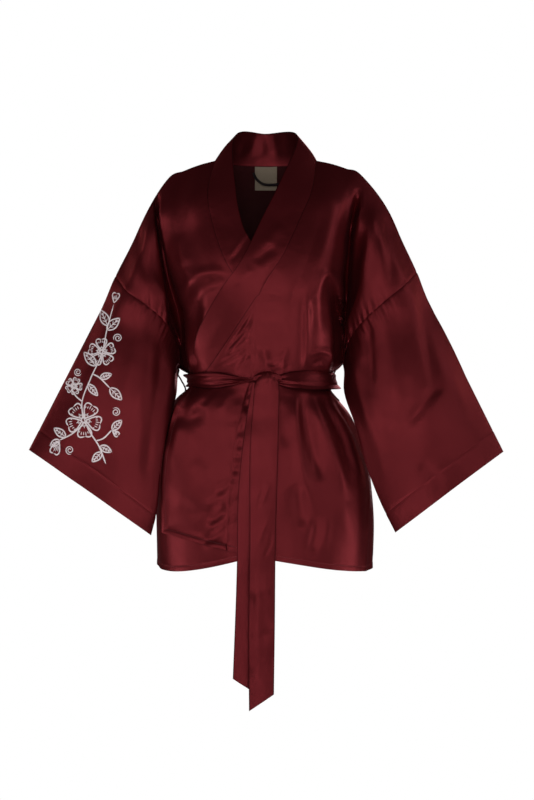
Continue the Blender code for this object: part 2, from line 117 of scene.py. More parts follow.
# Free edge of the neck band from the back to its end: x, y, z for the standing part, x, z where it lies.
bandEdge = {
    "standRight": ((0, 57, 54), (57, 14, 46), (27, -64, -40)),
    "standLeft": ((0, 57, 54), (-56, 14, 45), (-53, -64, -58)),
    "laidRight": ((-8, -114), (-43, -187), (-83, -245), (-121, -315), (-131, -387)),
    "laidLeft": ((-41, -122), (-23, -158), (10, -220), (76, -309), (110, -379)),
    "neckBack": (0, 70, -5), "fullness": 2.0,
}
# Sleeves: cuff ends as outer x, z, inner x, z, and the inner edge as share, forward shift, then the shift
# across of the right sleeve and of the left one.
sleeves = {
    "cuffRight": (423, -524, 230, -666), "cuffLeft": (-422, -521, -204, -671),
    "cuffRise": 5, "cuffForward": (-42, -62), "cuffDepth": 44, "cuffStart": 0.885, "belly": 10,
    "rings": 74, "cuffRings": 12,
    "innerEdge": np.array((
        (0, 0, 0, 0), (0.05, -10, -3, 0), (0.15, -28, -13, 4), (0.35, -50, -14, -2),
        (0.65, -46, -16, 1), (0.85, -30, -10, 5), (1, -12, -1, 1),
    ), float),
}


# Cubic curve through a table's values; its slope at a station comes from the neighbours.
def smoothCurve(at, stations, values):
    order = np.argsort(stations)
    stations = np.asarray(stations, float)[order]
    values = np.asarray(values, float)[order]
    slope = np.gradient(values, stations)
    at = np.clip(np.asarray(at, float), stations[0], stations[-1])
    i = np.clip(np.searchsorted(stations, at, side="right") - 1, 0, len(stations) - 2)
    width = stations[i + 1] - stations[i]
    t = (at - stations[i]) / width
    rise = values[i] * (1 + 2 * t) * (1 - t) ** 2 + values[i + 1] * t * t * (3 - 2 * t)
    return rise + width * (slope[i] * t * (1 - t) ** 2 - slope[i + 1] * t * t * (1 - t))


# Weights of the control points for a smooth curve through them that may turn sharply at the breaks.
def splineWeights(at, count, breaks=()):
    at = np.asarray(at, float)
    i = np.clip(np.floor(at), 0, count - 2).astype(int)
    t = at - i
    weights = np.zeros((len(at), count))
    line = np.arange(len(at))
    broken = np.isin(np.arange(count), breaks)
    before = np.where((i == 0) | broken[i], i, i - 1)
    after = np.where((i == count - 2) | broken[i + 1], i + 1, i + 2)
    startSlope = t * (1 - t) ** 2 / (i + 1 - before)
    endSlope = -t * t * (1 - t) / (after - i)
    parts = ((i, (1 + 2 * t) * (1 - t) ** 2), (i + 1, t * t * (3 - 2 * t)))
    parts += ((i + 1, startSlope), (before, -startSlope), (after, endSlope), (i, -endSlope))
    for column, weight in parts:
        np.add.at(weights, (line, column), weight)
    return weights


# Smooth step from nothing to one while t goes from nothing to one.
def ease(t):
    t = np.clip(t, 0, 1)
    return t * t * (3 - 2 * t)


# Vectors divided by their own length.
def unit(vectors):
    return vectors / np.maximum(np.linalg.norm(vectors, axis=-1, keepdims=True), 1e-9)


# Gaussian bump of one half width.
def bump(distance, width):
    return np.exp(-(distance / width) ** 2)


# Samples from zero to last with extra ones close to both ends, where seams and hems need them.
def closeAtEnds(last, steps, near=(0.02, 0.045, 0.075, 0.12)):
    inner = np.linspace(0, last, steps + 1)
    near = np.array(near)
    inner = inner[(inner > near[-1] * 1.2) & (inner < last - near[-1] * 1.2)]
    return np.concatenate([[0], near, inner, last - near[::-1], [last]])


# Surface through a net of control points. Edge columns turn sharply at the underarm row,
# and the top row turns sharply at the corner columns.
def weavePatch(control, across, down, edgeColumns, cornerColumns=()):
    rows, columns = control.shape[:2]
    plainV, sharpV = splineWeights(down, rows), splineWeights(down, rows, (jacket["underarmRow"],))
    plainU, sharpU = splineWeights(across, columns), splineWeights(across, columns, cornerColumns)
    top = (1 - ease(down))[:, None, None]
    side = sum(1 - ease(np.abs(across - column)) for column in edgeColumns)[None, :, None]

    def woven(v, u):
        return np.einsum("vi,uj,ijk->vuk", v, u, control, optimize=True)

    plain = woven(plainV, plainU) * (1 - top) + woven(plainV, sharpU) * top
    sharp = woven(sharpV, plainU) * (1 - top) + woven(sharpV, sharpU) * top
    return plain * (1 - side) + sharp * side


# Middle, half width, front depth and back depth of the body at a height.
def bodyAt(z):
    left, right, front, back = (smoothCurve(z, bodySections[:, 0], bodySections[:, k]) for k in (1, 2, 3, 4))
    return (left + right) / 2, (right - left) / 2, front, back


# Depth of the body's front at x, z: a superellipse section moved out by the lift.
def frontDepth(x, z, lift=0.0):
    middle, half, front, _ = bodyAt(z)
    share = np.clip(np.abs(x - middle) / (half + lift), 0, 1)
    return -(front + lift) * (1 - share ** jacket["sectionPower"]) ** (1 / jacket["sectionPower"])


# Depth of the body's back at x, z, on a section of the same kind.
def backDepth(x, z):
    middle, half, _, back = bodyAt(z)
    share = np.clip(np.abs(x - middle) / half, 0, 1)
    return back * (1 - share ** jacket["sectionPower"]) ** (1 / jacket["sectionPower"])


# Point of the body's section at an angle from the front, moved out by the lift.
def roundBody(angle, z, lift):
    middle, half, front, back = bodyAt(z)
    sine, cosine = np.sin(angle), np.cos(angle)
    power = 2 / jacket["sectionPower"]
    depth = np.where(cosine > 0, front, back) + lift
    x = middle + (half + lift) * np.sign(sine) * np.abs(sine) ** power
    return np.stack([x, -np.sign(cosine) * depth * np.abs(cosine) ** power, z + 0 * x], -1)


# Five steps round the body from a panel's seam to the side seam, which may stand a turn forward of the side.
def lowerRow(start, zStart, zEnd, sag, side, lift, turn, backward=False):
    middle, half, _, _ = bodyAt(zStart)
    sine = np.clip(side * (start - middle) / half, -1, 1) * 0.999
    first = np.arcsin(np.sign(sine) * np.abs(sine) ** (jacket["sectionPower"] / 2))
    share = np.linspace(0, 1, 6)
    angle = first + (np.pi / 2 + (turn if backward else -turn) - first) * share
    angle = np.pi - angle if backward else angle
    z = zStart + (zEnd - zStart) * share - sag * np.sin(np.pi * share)
    return roundBody(side * angle, z, lift * (1 - share ** 2))


# Control net of one front: seam, two steps over the chest, fold, arm and sleeve edge.
def frontNet(upper, lower, side, lift):
    net = []
    for k, (sx, sz, fx, fz, fy, _, ax, az, ay, _, ex, ez, ey, _) in enumerate(upper):
        row = [(sx, jacket["neckY"], sz)]
        for share in (1 / 3, 2 / 3):
            x, z = sx + (fx - sx) * share, sz + (fz - sz) * share
            onShoulder = (x, jacket["shoulderY"], z + jacket["shoulderRise"])
            row.append((x, frontDepth(x, z, lift * (k > 1)), z) if k else onShoulder)
        if k:
            row[0] = (sx, frontDepth(sx, sz, lift * (k > 1)), sz)
        net.append(row + [(fx, fy, fz), (ax, ay, az), (ex, ey, ez)])
    net[1][0] = (net[1][0][0], net[1][0][1] + jacket["neckEase"], net[1][0][2])
    for (sx, sz, ez, sag), turn in zip(lower, sideTurn[side]):
        net.append(lowerRow(sx, sz, ez, sag, side, lift, turn))
    return np.array(net, float)


# Control net of half the back, from the neck's side outwards.
def backHalf(upper, lower, side):
    net = []
    for k, (_, sz, fx, fz, _, fy, ax, az, _, ay, ex, ez, _, ey) in enumerate(upper):
        inner, top = side * (backCut["neckHalf"] - backCut["neckNarrows"] * k), -backCut["rowDrop"] * k
        row = [(inner, backDepth(inner, top), top) if k else (inner, jacket["neckY"], sz)]
        for share in (1 / 3, 2 / 3):
            x, z = inner + (fx - inner) * share, top + (fz - top) * share
            onShoulder = (x, jacket["shoulderY"], z + jacket["shoulderRise"])
            row.append((x, backDepth(x, z), z) if k else onShoulder)
        net.append(row + [(fx, fy, fz), (ax, ay, az), (ex, ey, ez)])
    for k, (_, _, ez, _) in enumerate(lower):
        inner = side * (backCut["lowHalf"] - backCut["lowNarrows"] * k)
        net.append(lowerRow(inner, ez + backCut["rowRise"], ez, 0, side, 0, sideTurn[side][k], True))
    return np.array(net, float)


# Both halves joined by a centre column and a quarter column each side, with the scooped back neck.
def backNet():
    right, left = backHalf(upperRight, lowerRight, 1), backHalf(upperLeft, lowerLeft, -1)
    centre = (right[:, :1] + left[:, :1]) / 2
    centre[:, 0, 1] = backDepth(centre[:, 0, 0], centre[:, 0, 2] - backCut["neckDip"])
    centre[0, 0] = bandEdge["neckBack"]
    ring, scoop = (right[0, 0] + left[0, 0]) / 2, backCut["neckRound"]
    quarter = []
    for half in (left, right):
        middle = (half[:, :1] + centre) / 2
        middle[:, 0, 1] = backDepth(middle[:, 0, 0], middle[:, 0, 2])
        middle[0, 0] = ring + (half[0, 0] - ring) * scoop + (centre[0, 0] - ring) * scoop
        quarter.append(middle)
    return np.concatenate([left[:, ::-1], quarter[0], centre, quarter[1], right], 1)


# Rows from the panel seam to the free side, laid on the body's front and lifted towards that side.
def overlapPanel(edge, free, at, lift, extra):
    side = splineWeights(at, len(free)) @ np.array(free, float)
    share = closeAtEnds(1, jacket["overlapSteps"], (0.012, 0.03, 0.05, 0.075))[None, :]
    x = edge[:, :1] + (side[:, :1] - edge[:, :1]) * share
    z = edge[:, 2:] + (side[:, 1:] - edge[:, 2:]) * share
    error = edge[:, 1] - frontDepth(edge[:, 0], edge[:, 2], lift)
    full = lift + extra * ease((at[:, None] - 2.1) / 0.8) * share ** 1.5
    y = frontDepth(x, z, full) + error[:, None] * (1 - share) ** 2
    return np.stack([x, y, z], -1)


# Strip from the seam round the neck to the band's free edge, a little full across its width.
def neckBand(seam, places, lift):
    left = [(x, frontDepth(x, z, 1.0), z) for x, z in bandEdge["laidLeft"][::-1]]
    right = [(x, frontDepth(x, z, lift + 1), z) for x, z in bandEdge["laidRight"]]
    middle = list(bandEdge["standLeft"][:0:-1]) + list(bandEdge["standRight"])
    table = np.array(left + middle + right, float)
    free = splineWeights(places, len(table)) @ table
    share = closeAtEnds(1, jacket["bandSteps"], (0.02, 0.05))[None, :, None]
    strip = seam[:, None] * (1 - share) + free[:, None] * share
    out = unit(np.cross(np.gradient(seam, axis=0)[:, None], free[:, None] - seam[:, None]))
    return strip - out * bandEdge["fullness"] * 4 * share * (1 - share)


# Rings from the armhole seam to the cuff, each down the front and up the back, blended from one to the other.
def sleeveRings(frontEdge, backEdge, place, cuff, column):
    ring = np.concatenate([frontEdge, backEdge[-2:0:-1]])
    face = np.concatenate([-np.ones(len(place)), np.ones(len(place) - 2)])
    place = np.concatenate([place, place[-2:0:-1]])
    outer = np.array((cuff[0], sleeves["cuffForward"][0], cuff[1]), float)
    inner = np.array((cuff[2], sleeves["cuffForward"][1], cuff[3]), float)
    lens = np.sin(np.pi * place) ** 0.75
    end = outer + (inner - outer) * place[:, None]
    end[:, 1] += face * sleeves["cuffDepth"] * lens
    end[:, 2] += sleeves["cuffRise"] * lens
    start = sleeves["cuffStart"]
    share = closeAtEnds(start, sleeves["rings"], (0.004, 0.01, 0.018))
    cuffShare = start + closeAtEnds(1 - start, sleeves["cuffRings"], (0.003, 0.008))
    share = np.concatenate([share, cuffShare[1:]])[:, None]
    rings = ring[None] * (1 - share[..., None]) + end[None] * share[..., None]
    table = sleeves["innerEdge"]
    rings[..., 0] += smoothCurve(share, table[:, 0], table[:, column]) * place ** 4
    rings[..., 1] += smoothCurve(share, table[:, 0], table[:, 1]) * place ** 2
    rings[..., 1] += face * sleeves["belly"] * np.sin(np.pi * share) * lens
    return rings, share[:, 0]


# Where points are seen in the picture, in its pixels.
def seenAt(points):
    near = picture["cameraDistance"] / (picture["cameraDistance"] + points[..., 1])
    x = picture["cameraX"] + (points[..., 0] - picture["cameraX"]) * near
    z = picture["cameraZ"] + (points[..., 2] - picture["cameraZ"]) * near
    return picture["zeroAt"][0] + x / picture["pixel"], picture["zeroAt"][1] - z / picture["pixel"]


# Height of a set of creases at picture places. Each crease is a smooth line with a bump of its own width and
# depth, plus a lean that lifts one side of the line and sinks the other; it fades towards its ends.
def creaseHeight(px, py, creases):
    height = np.zeros(px.shape)
    for path, width, depth, lean in creases:
        path = np.array(path, float)
        line = splineWeights(np.linspace(0, len(path) - 1, 8 * (len(path) - 1) + 1), len(path)) @ path
        reach = 3 * width
        low, high = line.min(0) - reach, line.max(0) + reach
        inside = (px > low[0]) & (px < high[0]) & (py > low[1]) & (py < high[1])
        place = np.stack([px[inside], py[inside]], -1)[:, None]
        start, step = line[:-1][None], np.diff(line, axis=0)[None]
        share = np.clip(((place - start) * step).sum(-1) / (step ** 2).sum(-1), 0, 1)
        away = place - start - share[..., None] * step
        distance = np.linalg.norm(away, axis=-1)
        nearest = distance.argmin(1)
        pick = np.arange(len(nearest))
        side = step[0, nearest, 0] * away[pick, nearest, 1] - step[0, nearest, 1] * away[pick, nearest, 0]
        across = np.sign(side) * distance[pick, nearest] / width
        along = (nearest + share[pick, nearest]) / step.shape[1]
        fade = ease(np.minimum(along, 1 - along) / 0.32 + 0.08)
        height[inside] += (depth + lean * across * 1.6) * np.exp(-across ** 2) * fade
    return height


# Loose unevenness of hanging cloth: a sum of seeded sine waves that run mostly down the cloth.
def waves(px, py, seed, height, wave, upright, count=7):
    random = np.random.default_rng(seed)
    total = np.zeros(px.shape)
    for _ in range(count):
        turn = random.normal(0, upright)
        length = wave * random.uniform(0.55, 1.5)
        phase = random.uniform(0, 2 * np.pi)
        bend = random.uniform(0.4, 1.0) * np.sin(2 * np.pi * py / (length * 2.7) + phase * 2)
        across = px * np.cos(turn) + py * np.sin(turn)
        total += np.sin(2 * np.pi * across / length + phase + bend) / count ** 0.5
    return total * height


# The same at three scales: broad swells, soft dents and small crinkles that come and go over the cloth.
def drape(px, py, seed, height, upright=0.6):
    dented = ease(0.5 + waves(px, py, seed + 200, 0.6, 110, 1.5))
    dents = waves(px, py, seed + 100, 0.5, 32, upright + 0.3) * dented
    crinkled = ease(0.3 + waves(px, py, seed + 400, 0.6, 70, 1.5))
    crinkles = waves(px, py, seed + 300, 0.11, 13, 1.5) * crinkled
    return height * (waves(px, py, seed, 1.7, 80, upright) + dents + crinkles)


# Move of the cloth at the deep hollows: straight back between the two lines, with steep walls and soft ends,
# and towards the hollow beside them, less with distance.
def hollowMove(px, py):
    back, over = np.zeros(px.shape), np.zeros(px.shape)
    for deep, hang, wall, rows in hollows:
        y, left, right = np.array(rows, float).T
        left, right = np.interp(py, y, left), np.interp(py, y, right)
        ends = ease((py - y[0]) / hollowEnds["top"]) * ease((y[-1] - py) / hollowEnds["bottom"])
        between = ease((px - left) / wall + 0.5) * ease((right - px) / wall + 0.5)
        back = np.maximum(back, deep * ends * between)
        rollLeft = bump(left - px, hollowEnds["roll"]) * (px < left)
        rollRight = bump(px - right, hollowEnds["roll"]) * (px > right)
        over += hang * ends * (rollLeft - rollRight)
    return np.stack([over, back, 0 * px], -1)


# Small gathers beside a seam: waves along it that start at the seam, peak a little way off and die out.
def pucker(along, away, seed, height, wave, peak):
    random = np.random.default_rng(seed)
    ripple = 0
    for _ in range(4):
        length = wave * random.uniform(0.7, 1.6)
        ripple = ripple + np.sin(2 * np.pi * along / length + random.uniform(0, 6.3))
    return height * ripple / 2 * (away / peak) * np.exp(1 - away / peak)


# Lengths along a grid from each of its edges, in millimetres.
def lengthsFromEdges(grid):
    down = np.linalg.norm(np.diff(grid, axis=0), axis=-1)
    down = np.concatenate([np.zeros((1, grid.shape[1])), np.cumsum(down, 0)])
    across = np.linalg.norm(np.diff(grid, axis=1), axis=-1)
    across = np.concatenate([np.zeros((grid.shape[0], 1)), np.cumsum(across, 1)], 1)
    return {"top": down, "bottom": down[-1] - down, "first": across, "last": across[:, -1:] - across}


# Normals of a grid: its direction across times its direction down. A ring's last column meets its first.
def gridNormals(grid, ring=False):
    across = np.roll(grid, -1, 1) - np.roll(grid, 1, 1) if ring else np.gradient(grid, axis=1)
    return unit(np.cross(across, np.gradient(grid, axis=0)))


# Normals of all cloth pieces, made the same where pieces meet, so that sewn edges stay together.
def shareNormals(pieces):
    points = np.concatenate([piece["grid"].reshape(-1, 3) for piece in pieces])
    own = np.concatenate([gridNormals(piece["grid"], piece["ring"]).reshape(-1, 3) for piece in pieces])
    _, place = np.unique(np.round(points, 2), axis=0, return_inverse=True)
    place = place.reshape(-1)
    total = np.zeros((place.max() + 1, 3))
    np.add.at(total, place, own)
    count = np.bincount(place)[place][:, None]
    mean = total[place]
    mean = np.where(np.linalg.norm(mean, axis=1, keepdims=True) > 0.3 * count, unit(mean), own)
    sizes = [piece["grid"].shape[0] * piece["grid"].shape[1] for piece in pieces]
    for piece, part in zip(pieces, np.split(mean, np.cumsum(sizes)[:-1])):
        piece["lean"] = part.reshape(piece["grid"].shape)


# Length along a line up to each of its points.
def lengthAlong(line):
    return np.concatenate([[0], np.cumsum(np.linalg.norm(np.diff(line, axis=0), axis=1))])


# A grid with its first column once more at the end.
def closedRound(grid):
    return np.concatenate([grid, grid[:, :1]], 1)


# The four corners of every quad of a grid, all in one sense.
def quads(grid):
    corners = [grid[:-1, :-1], grid[:-1, 1:], grid[1:, 1:], grid[1:, :-1]]
    return np.stack(corners, 2).reshape((-1, 4) + grid.shape[2:])


# A mesh from points, faces and one texture place for each face corner.
def putMesh(name, points, faces, corners, finish, sharp=50):
    mesh = bpy.data.meshes.new(name)
    mesh.from_pydata((points * mm).tolist(), [], faces.tolist() if hasattr(faces, "tolist") else faces)
    if corners is not None:
        layer = mesh.uv_layers.new(name="cloth")
        layer.data.foreach_set("uv", (np.asarray(corners, float) * mm).reshape(-1))
    mesh.polygons.foreach_set("use_smooth", np.ones(len(mesh.polygons), bool))
    mesh.set_sharp_from_angle(angle=np.radians(sharp))
    mesh.materials.append(finish)
    mesh.update()
    piece = bpy.data.objects.new(name, mesh)
    bpy.context.scene.collection.objects.link(piece)
    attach(piece, "root")
    return piece


# Two skins of cloth a wall apart, closed along every rim. The weave's places are lengths along the grid.
# The inner skin has its own finish where the cloth's wrong side shows: duller, and darkened as painted shade.
def putShell(name, grid, lean, thick, ring, finish, inside=None):
    rows, columns = grid.shape[:2]
    lengths = lengthsFromEdges(closedRound(grid) if ring else grid)
    places = np.stack([lengths["first"] - lengths["first"][:, -1:] / 2, -lengths["top"]], -1)
    index = np.arange(rows * columns).reshape(rows, columns)
    index = closedRound(index) if ring else index
    back = rows * columns
    faces, corners = [quads(index), quads(index)[:, ::-1] + back], [quads(places), quads(places)[:, ::-1]]
    rims = [(index[0, ::-1], places[0, ::-1]), (index[-1], places[-1])]
    if not ring:
        rims += [(index[:, 0], places[:, 0]), (index[::-1, -1], places[::-1, -1])]
    for rim, place in rims:
        faces.append(np.stack([rim[:-1], rim[1:], rim[1:] + back, rim[:-1] + back], -1))
        corners.append(np.stack([place[:-1], place[1:], place[1:], place[:-1]], 1))
    points = np.concatenate([grid.reshape(-1, 3), (grid - lean * thick).reshape(-1, 3)])
    piece = putMesh(name, points, np.concatenate(faces), np.concatenate(corners), finish)
    if inside:
        piece.data.materials.append(inside)
        skin = len(faces[0])
        rimFaces = len(piece.data.polygons) - 2 * skin
        piece.data.polygons.foreach_set("material_index", np.repeat((0, 1, 0), (skin, skin, rimFaces)))
    return piece


# A socket that takes part in sums: values make Math nodes, and every other node comes from one method.
class Wire:
    def __init__(self, tree, socket=None):
        self.tree, self.socket = tree, socket

    def node(self, kind, settings=None, sockets=None, out=0):
        made = self.tree.nodes.new(kind)
        for key, value in (settings or {}).items():
            setattr(made, key, value)
        for key, value in (sockets or {}).items():
            if isinstance(value, Wire):
                self.tree.links.new(value.socket, made.inputs[key])
            else:
                made.inputs[key].default_value = value
        return Wire(self.tree, made.outputs[out])

    def maths(self, operation, *values):
        return self.node("ShaderNodeMath", {"operation": operation}, dict(enumerate(values)))

    def mixed(self, first, second):
        colours = {0: self, 6: first, 7: second}
        return self.node("ShaderNodeMix", {"data_type": "RGBA"}, colours, 2)

    def clothPlace(self):
        return self.node("ShaderNodeUVMap", {"uv_map": "cloth"})

    def noise(self, place, scale, detail, roughness=0.5):
        sockets = {"Vector": place, "Scale": scale, "Detail": detail, "Roughness": roughness}
        return self.node("ShaderNodeTexNoise", {}, sockets)

    def raised(self, strength):
        return self.node("ShaderNodeBump", {}, {"Strength": strength, "Distance": 1.0, "Height": self})

    def sine(self):
        return self.maths("SINE", self)

    def split(self):
        return [self.node("ShaderNodeSeparateXYZ", {}, {0: self}, k) for k in range(3)]

    def __add__(self, other):
        return self.maths("ADD", self, other)

    def __rsub__(self, other):
        return self.maths("SUBTRACT", other, self)

    def __mul__(self, other):
        return self.maths("MULTIPLY", self, other)

    __radd__ = __add__


# A Principled material: fixed values first, then the wires that vary over the cloth.
def finishOf(name, fixed, varying):
    made = bpy.data.materials.new(name)
    made.use_nodes = True
    tree = made.node_tree
    shader = tree.nodes["Principled BSDF"]
    for key, value in fixed.items():
        shader.inputs[key].default_value = value
    for key, wire in varying(Wire(tree)).items():
        tree.links.new(wire.socket, shader.inputs[key])
    return made


satin = {
    "colour": (0.118, 0.0122, 0.0152, 1), "deep": (0.090, 0.0088, 0.0112, 1),
    # The wrong side's colour is darkened by painted shade, and its roughness is raised.
    "roughness": 0.36, "metallic": 0.72, "threads": 2600, "insideShadeValue": 0.42, "insideRoughness": 0.35,
    "slubScale": (900, 70, 1), "dyeScale": 9.0, "wrinkleScale": 38.0,
    "ribRise": 0.00001, "slubRise": 0.00004, "wrinkleRise": 0.0005,
    # Colour of the painted shadow line along the band's and belt's long edges, and how far from the edge it
    # reaches.
    "paintedEdgeShadow": (0.032, 0.0032, 0.0042, 1), "edgeShadowWidth": 0.0013,
}


# Satin cloth: long floats of yarn seen as fine ribs across the weave, slubs along it, a slow change of dye
# and small soft wrinkles.
def satinWires(wire):
    place = wire.clothPlace()
    u, v, _ = place.split()
    rib = (u * (2 * np.pi * satin["threads"]) + v * (satin["threads"] * 1.3)).sine()
    stretch = wire.node("ShaderNodeMapping", {}, {"Vector": place, "Scale": satin["slubScale"]})
    slub = wire.noise(stretch, 1.0, 2.0)
    where = wire.node("ShaderNodeTexCoord", out=3)
    dye = wire.noise(where, satin["dyeScale"], 3.0)
    wrinkle = wire.noise(where, satin["wrinkleScale"], 2.0, 0.45)
    tone = dye * 0.7 + slub * 0.3
    colour = tone.mixed(satin["deep"], satin["colour"])
    roughness = satin["roughness"] - 0.05 + slub * 0.06 + dye * 0.04
    height = rib * satin["ribRise"] + slub * satin["slubRise"] + wrinkle * satin["wrinkleRise"]
    return {"Base Color": colour, "Roughness": roughness, "Normal": height.raised(1.0)}


satinFixed = {
    "Metallic": satin["metallic"], "IOR": 1.45,
    "Specular IOR Level": 0.3, "Specular Tint": (1.0, 0.3, 0.34, 1),
    "Sheen Weight": 0.02, "Sheen Roughness": 0.4, "Sheen Tint": (0.7, 0.16, 0.2, 1),
}
satinFinish = finishOf("satin", satinFixed, satinWires)


# Satin of the band and the belt: the same, with a thin painted shadow line along their two long edges.
def edgeShadowWires(wire):
    wires = satinWires(wire)
    edge = wire.node("ShaderNodeAttribute", {"attribute_name": "edge"}, out=2)
    paintedEdgeShadow = wire.node("ShaderNodeClamp", {}, {0: 1.5 - edge * (1 / satin["edgeShadowWidth"])})
    wires["Base Color"] = paintedEdgeShadow.mixed(wires["Base Color"], satin["paintedEdgeShadow"])
    return wires


edgeShadowFinish = finishOf("satin with painted edge shadow", satinFixed, edgeShadowWires)


# Wrong side of the satin: the same ribs and dull; its colour is darkened as painted shade.
def wrongSideShadedWires(wire):
    wires = satinWires(wire)
    darker = {"Value": satin["insideShadeValue"], "Color": wires["Base Color"]}
    wires["Base Color"] = wire.node("ShaderNodeHueSaturation", {}, darker)
    wires["Roughness"] = wires["Roughness"] + satin["insideRoughness"]
    return wires


wrongSideShadedFinish = finishOf("satin wrong side with painted shade", {"Metallic": 0.1, "Specular IOR Level": 0.15}, wrongSideShadedWires)
print("finishes made")

# Folds seen from the front. Each has its line in picture pixels, its half width in pixels,
# its depth in millimetres (out is positive) and its lean in millimetres.
frontFolds = (
    # valley beside the right arm, with the roll of cloth on each side
    (((148, 205), (151, 240), (157, 276), (164, 312)), 6, 5, 0),
    (((139, 220), (140, 250), (148, 286)), 5, -3, 0),
    # fold that comes up from the belt and turns across the chest under the band
    (((187, 352), (185, 312), (187, 292), (196, 278), (212, 273), (236, 272)), 6.5, 3.6, 0),
    (((196, 345), (196, 308), (200, 292), (212, 284), (232, 281)), 6, -3.4, 0),
    (((205, 352), (204, 325), (208, 304)), 4, 2, 0),
    (((187, 268), (182, 252), (178, 232)), 6, 2.2, 0),
    # valley and rolls beside the left arm
    (((358, 185), (356, 212), (350, 246), (346, 268)), 5, 3, 0),
    (((374, 205), (370, 240), (360, 290)), 5, 4.5, 0),
    (((384, 210), (388, 250), (392, 292)), 5, -3.5, 1),
    # loop of cloth with a hollow in it, over the belt on that side
    (((318, 326), (319, 290), (326, 274), (335, 280), (341, 298), (345, 326)), 4.8, 4.4, 0),
    (((305, 292), (305, 320), (304, 350), (302, 378)), 4, 1, -2),
    (((314, 296), (314, 316), (313, 336)), 4.5, -3, 0),
    (((308, 356), (320, 351), (331, 356), (333, 372)), 2.6, 3, 0),
    (((312, 366), (321, 361), (326, 370)), 2.6, -2.4, 0),
    (((287, 346), (283, 360), (281, 380)), 3, 1.8, -0.8),
    (((262, 346), (266, 360), (270, 374)), 4, -2.4, 0),
    # small wrinkles beside the band
    (((259, 297), (247, 316), (234, 338)), 2.8, 3, 0.8),
    (((252, 318), (240, 334), (226, 350)), 2.6, -2.6, 0),
    (((250, 330), (238, 344), (224, 358)), 2.6, 2.8, 0.8),
    (((246, 348), (234, 356), (218, 366)), 2.8, 3, 0),
    (((250, 354), (243, 364), (236, 376)), 2.8, -3, 0),
    (((288, 356), (276, 362), (264, 366)), 2.8, 2.4, 0),
    (((292, 366), (280, 371), (266, 374)), 2.6, -2, 0),
    # pleats that fan out under the belt on the right of the picture
    (((298, 384), (299, 425), (303, 465), (316, 512)), 5, 3, 2.4),
    (((304, 388), (308, 425), (314, 452), (322, 484)), 6.5, -10, 0),
    (((308, 386), (322, 425), (336, 462), (348, 500)), 6, 5, 0),
    (((318, 386), (332, 414), (346, 446), (354, 490)), 5.5, -5, 0),
    (((322, 384), (342, 414), (356, 444), (362, 480)), 5, 3, 0),
    (((329, 388), (346, 410), (360, 436), (368, 470)), 6.5, -9, 0),
    (((298, 484), (300, 505), (304, 530)), 8, -5.5, 0),
    (((318, 516), (316, 534), (310, 556)), 6, -5, 0),
    (((326, 512), (326, 532), (322, 552)), 5, 1.8, 0),
    (((342, 500), (346, 520), (352, 548)), 7, 1.6, 0),
    (((282, 400), (283, 425), (286, 450)), 5, -2, 0),
    # gathers under the belt and the hollow below them on the left of the picture
    (((196, 386), (188, 398), (178, 412)), 3.5, -2.4, 0),
    (((219, 386), (210, 396), (198, 408)), 3.2, -2.4, 0),
    (((207, 386), (200, 400), (186, 420)), 4, 2, 0),
    (((232, 388), (226, 400), (215, 418)), 4, 1.6, 0),
    (((176, 410), (190, 416), (208, 410)), 9, -4.5, 0),
    (((178, 405), (171, 425), (166, 452)), 4, -4, 0),
    (((182, 420), (176, 440), (172, 470)), 5, 2, 0),
    # small gathers along the puckered seam, then dents beside it
    (((251, 386), (248, 398), (245, 414)), 2.4, -3.2, 0),
    (((244, 420), (241, 438)), 1.8, -1.6, 0),
    (((240, 441), (238.6, 450)), 2.2, -3, 0),
    (((238.4, 454), (237.4, 462)), 2, -2.4, 0),
    (((236.8, 465), (236, 474)), 2.2, -3, 0),
    (((235.4, 496), (234.4, 506)), 2.4, -3.2, 0),
    (((236, 518), (231, 525)), 2.2, -2.8, 0),
    (((232, 478), (224, 487), (216, 492)), 4, -3.2, 0),
    (((226, 504), (217, 516), (207, 522)), 4.5, -3.4, 0),
    (((228, 524), (216, 536), (200, 546)), 4, -2.8, 0),
    (((226, 494), (214, 503), (204, 506)), 4, 2, 0),
    (((226, 516), (216, 526), (204, 532)), 3.5, 2, 0),
    (((178, 500), (190, 510), (198, 520)), 7, -1.8, 0),
    (((192, 460), (200, 470), (208, 478)), 7, -1.4, 0),
)
# Deep hollows of the fronts, where the cloth goes straight back between two lines down the picture and the
# rolls beside them stand over: depth and overhang in millimetres, the walls' width in pixels, then rows of
# y, left x and right x in pixels.
hollows = (
    (37, 5, 4, (
        (190, 153, 160), (225, 154, 161), (243, 155.5, 164), (267, 158, 169.5), (290, 161.5, 178),
        (310, 164, 185.5), (330, 168, 187), (350, 172, 188), (366, 173, 191), (390, 174, 196),
    )),
    (34, 2.5, 6.5, (
        (186, 355.5, 361.5), (215, 350.5, 358), (240, 346, 353.5), (265, 344, 351.5), (300, 342, 349),
        (352, 341, 346),
    )),
    (40, 2, 5, (
        (280, 328, 333), (300, 330, 337.5), (320, 331.5, 342), (340, 332.5, 345), (362, 332, 346),
        (384, 328, 346),
    )),
)
# How long each hollow's ends run out and how wide its rolls are, in pixels.
hollowEnds = {"top": 30, "bottom": 10, "roll": 6}
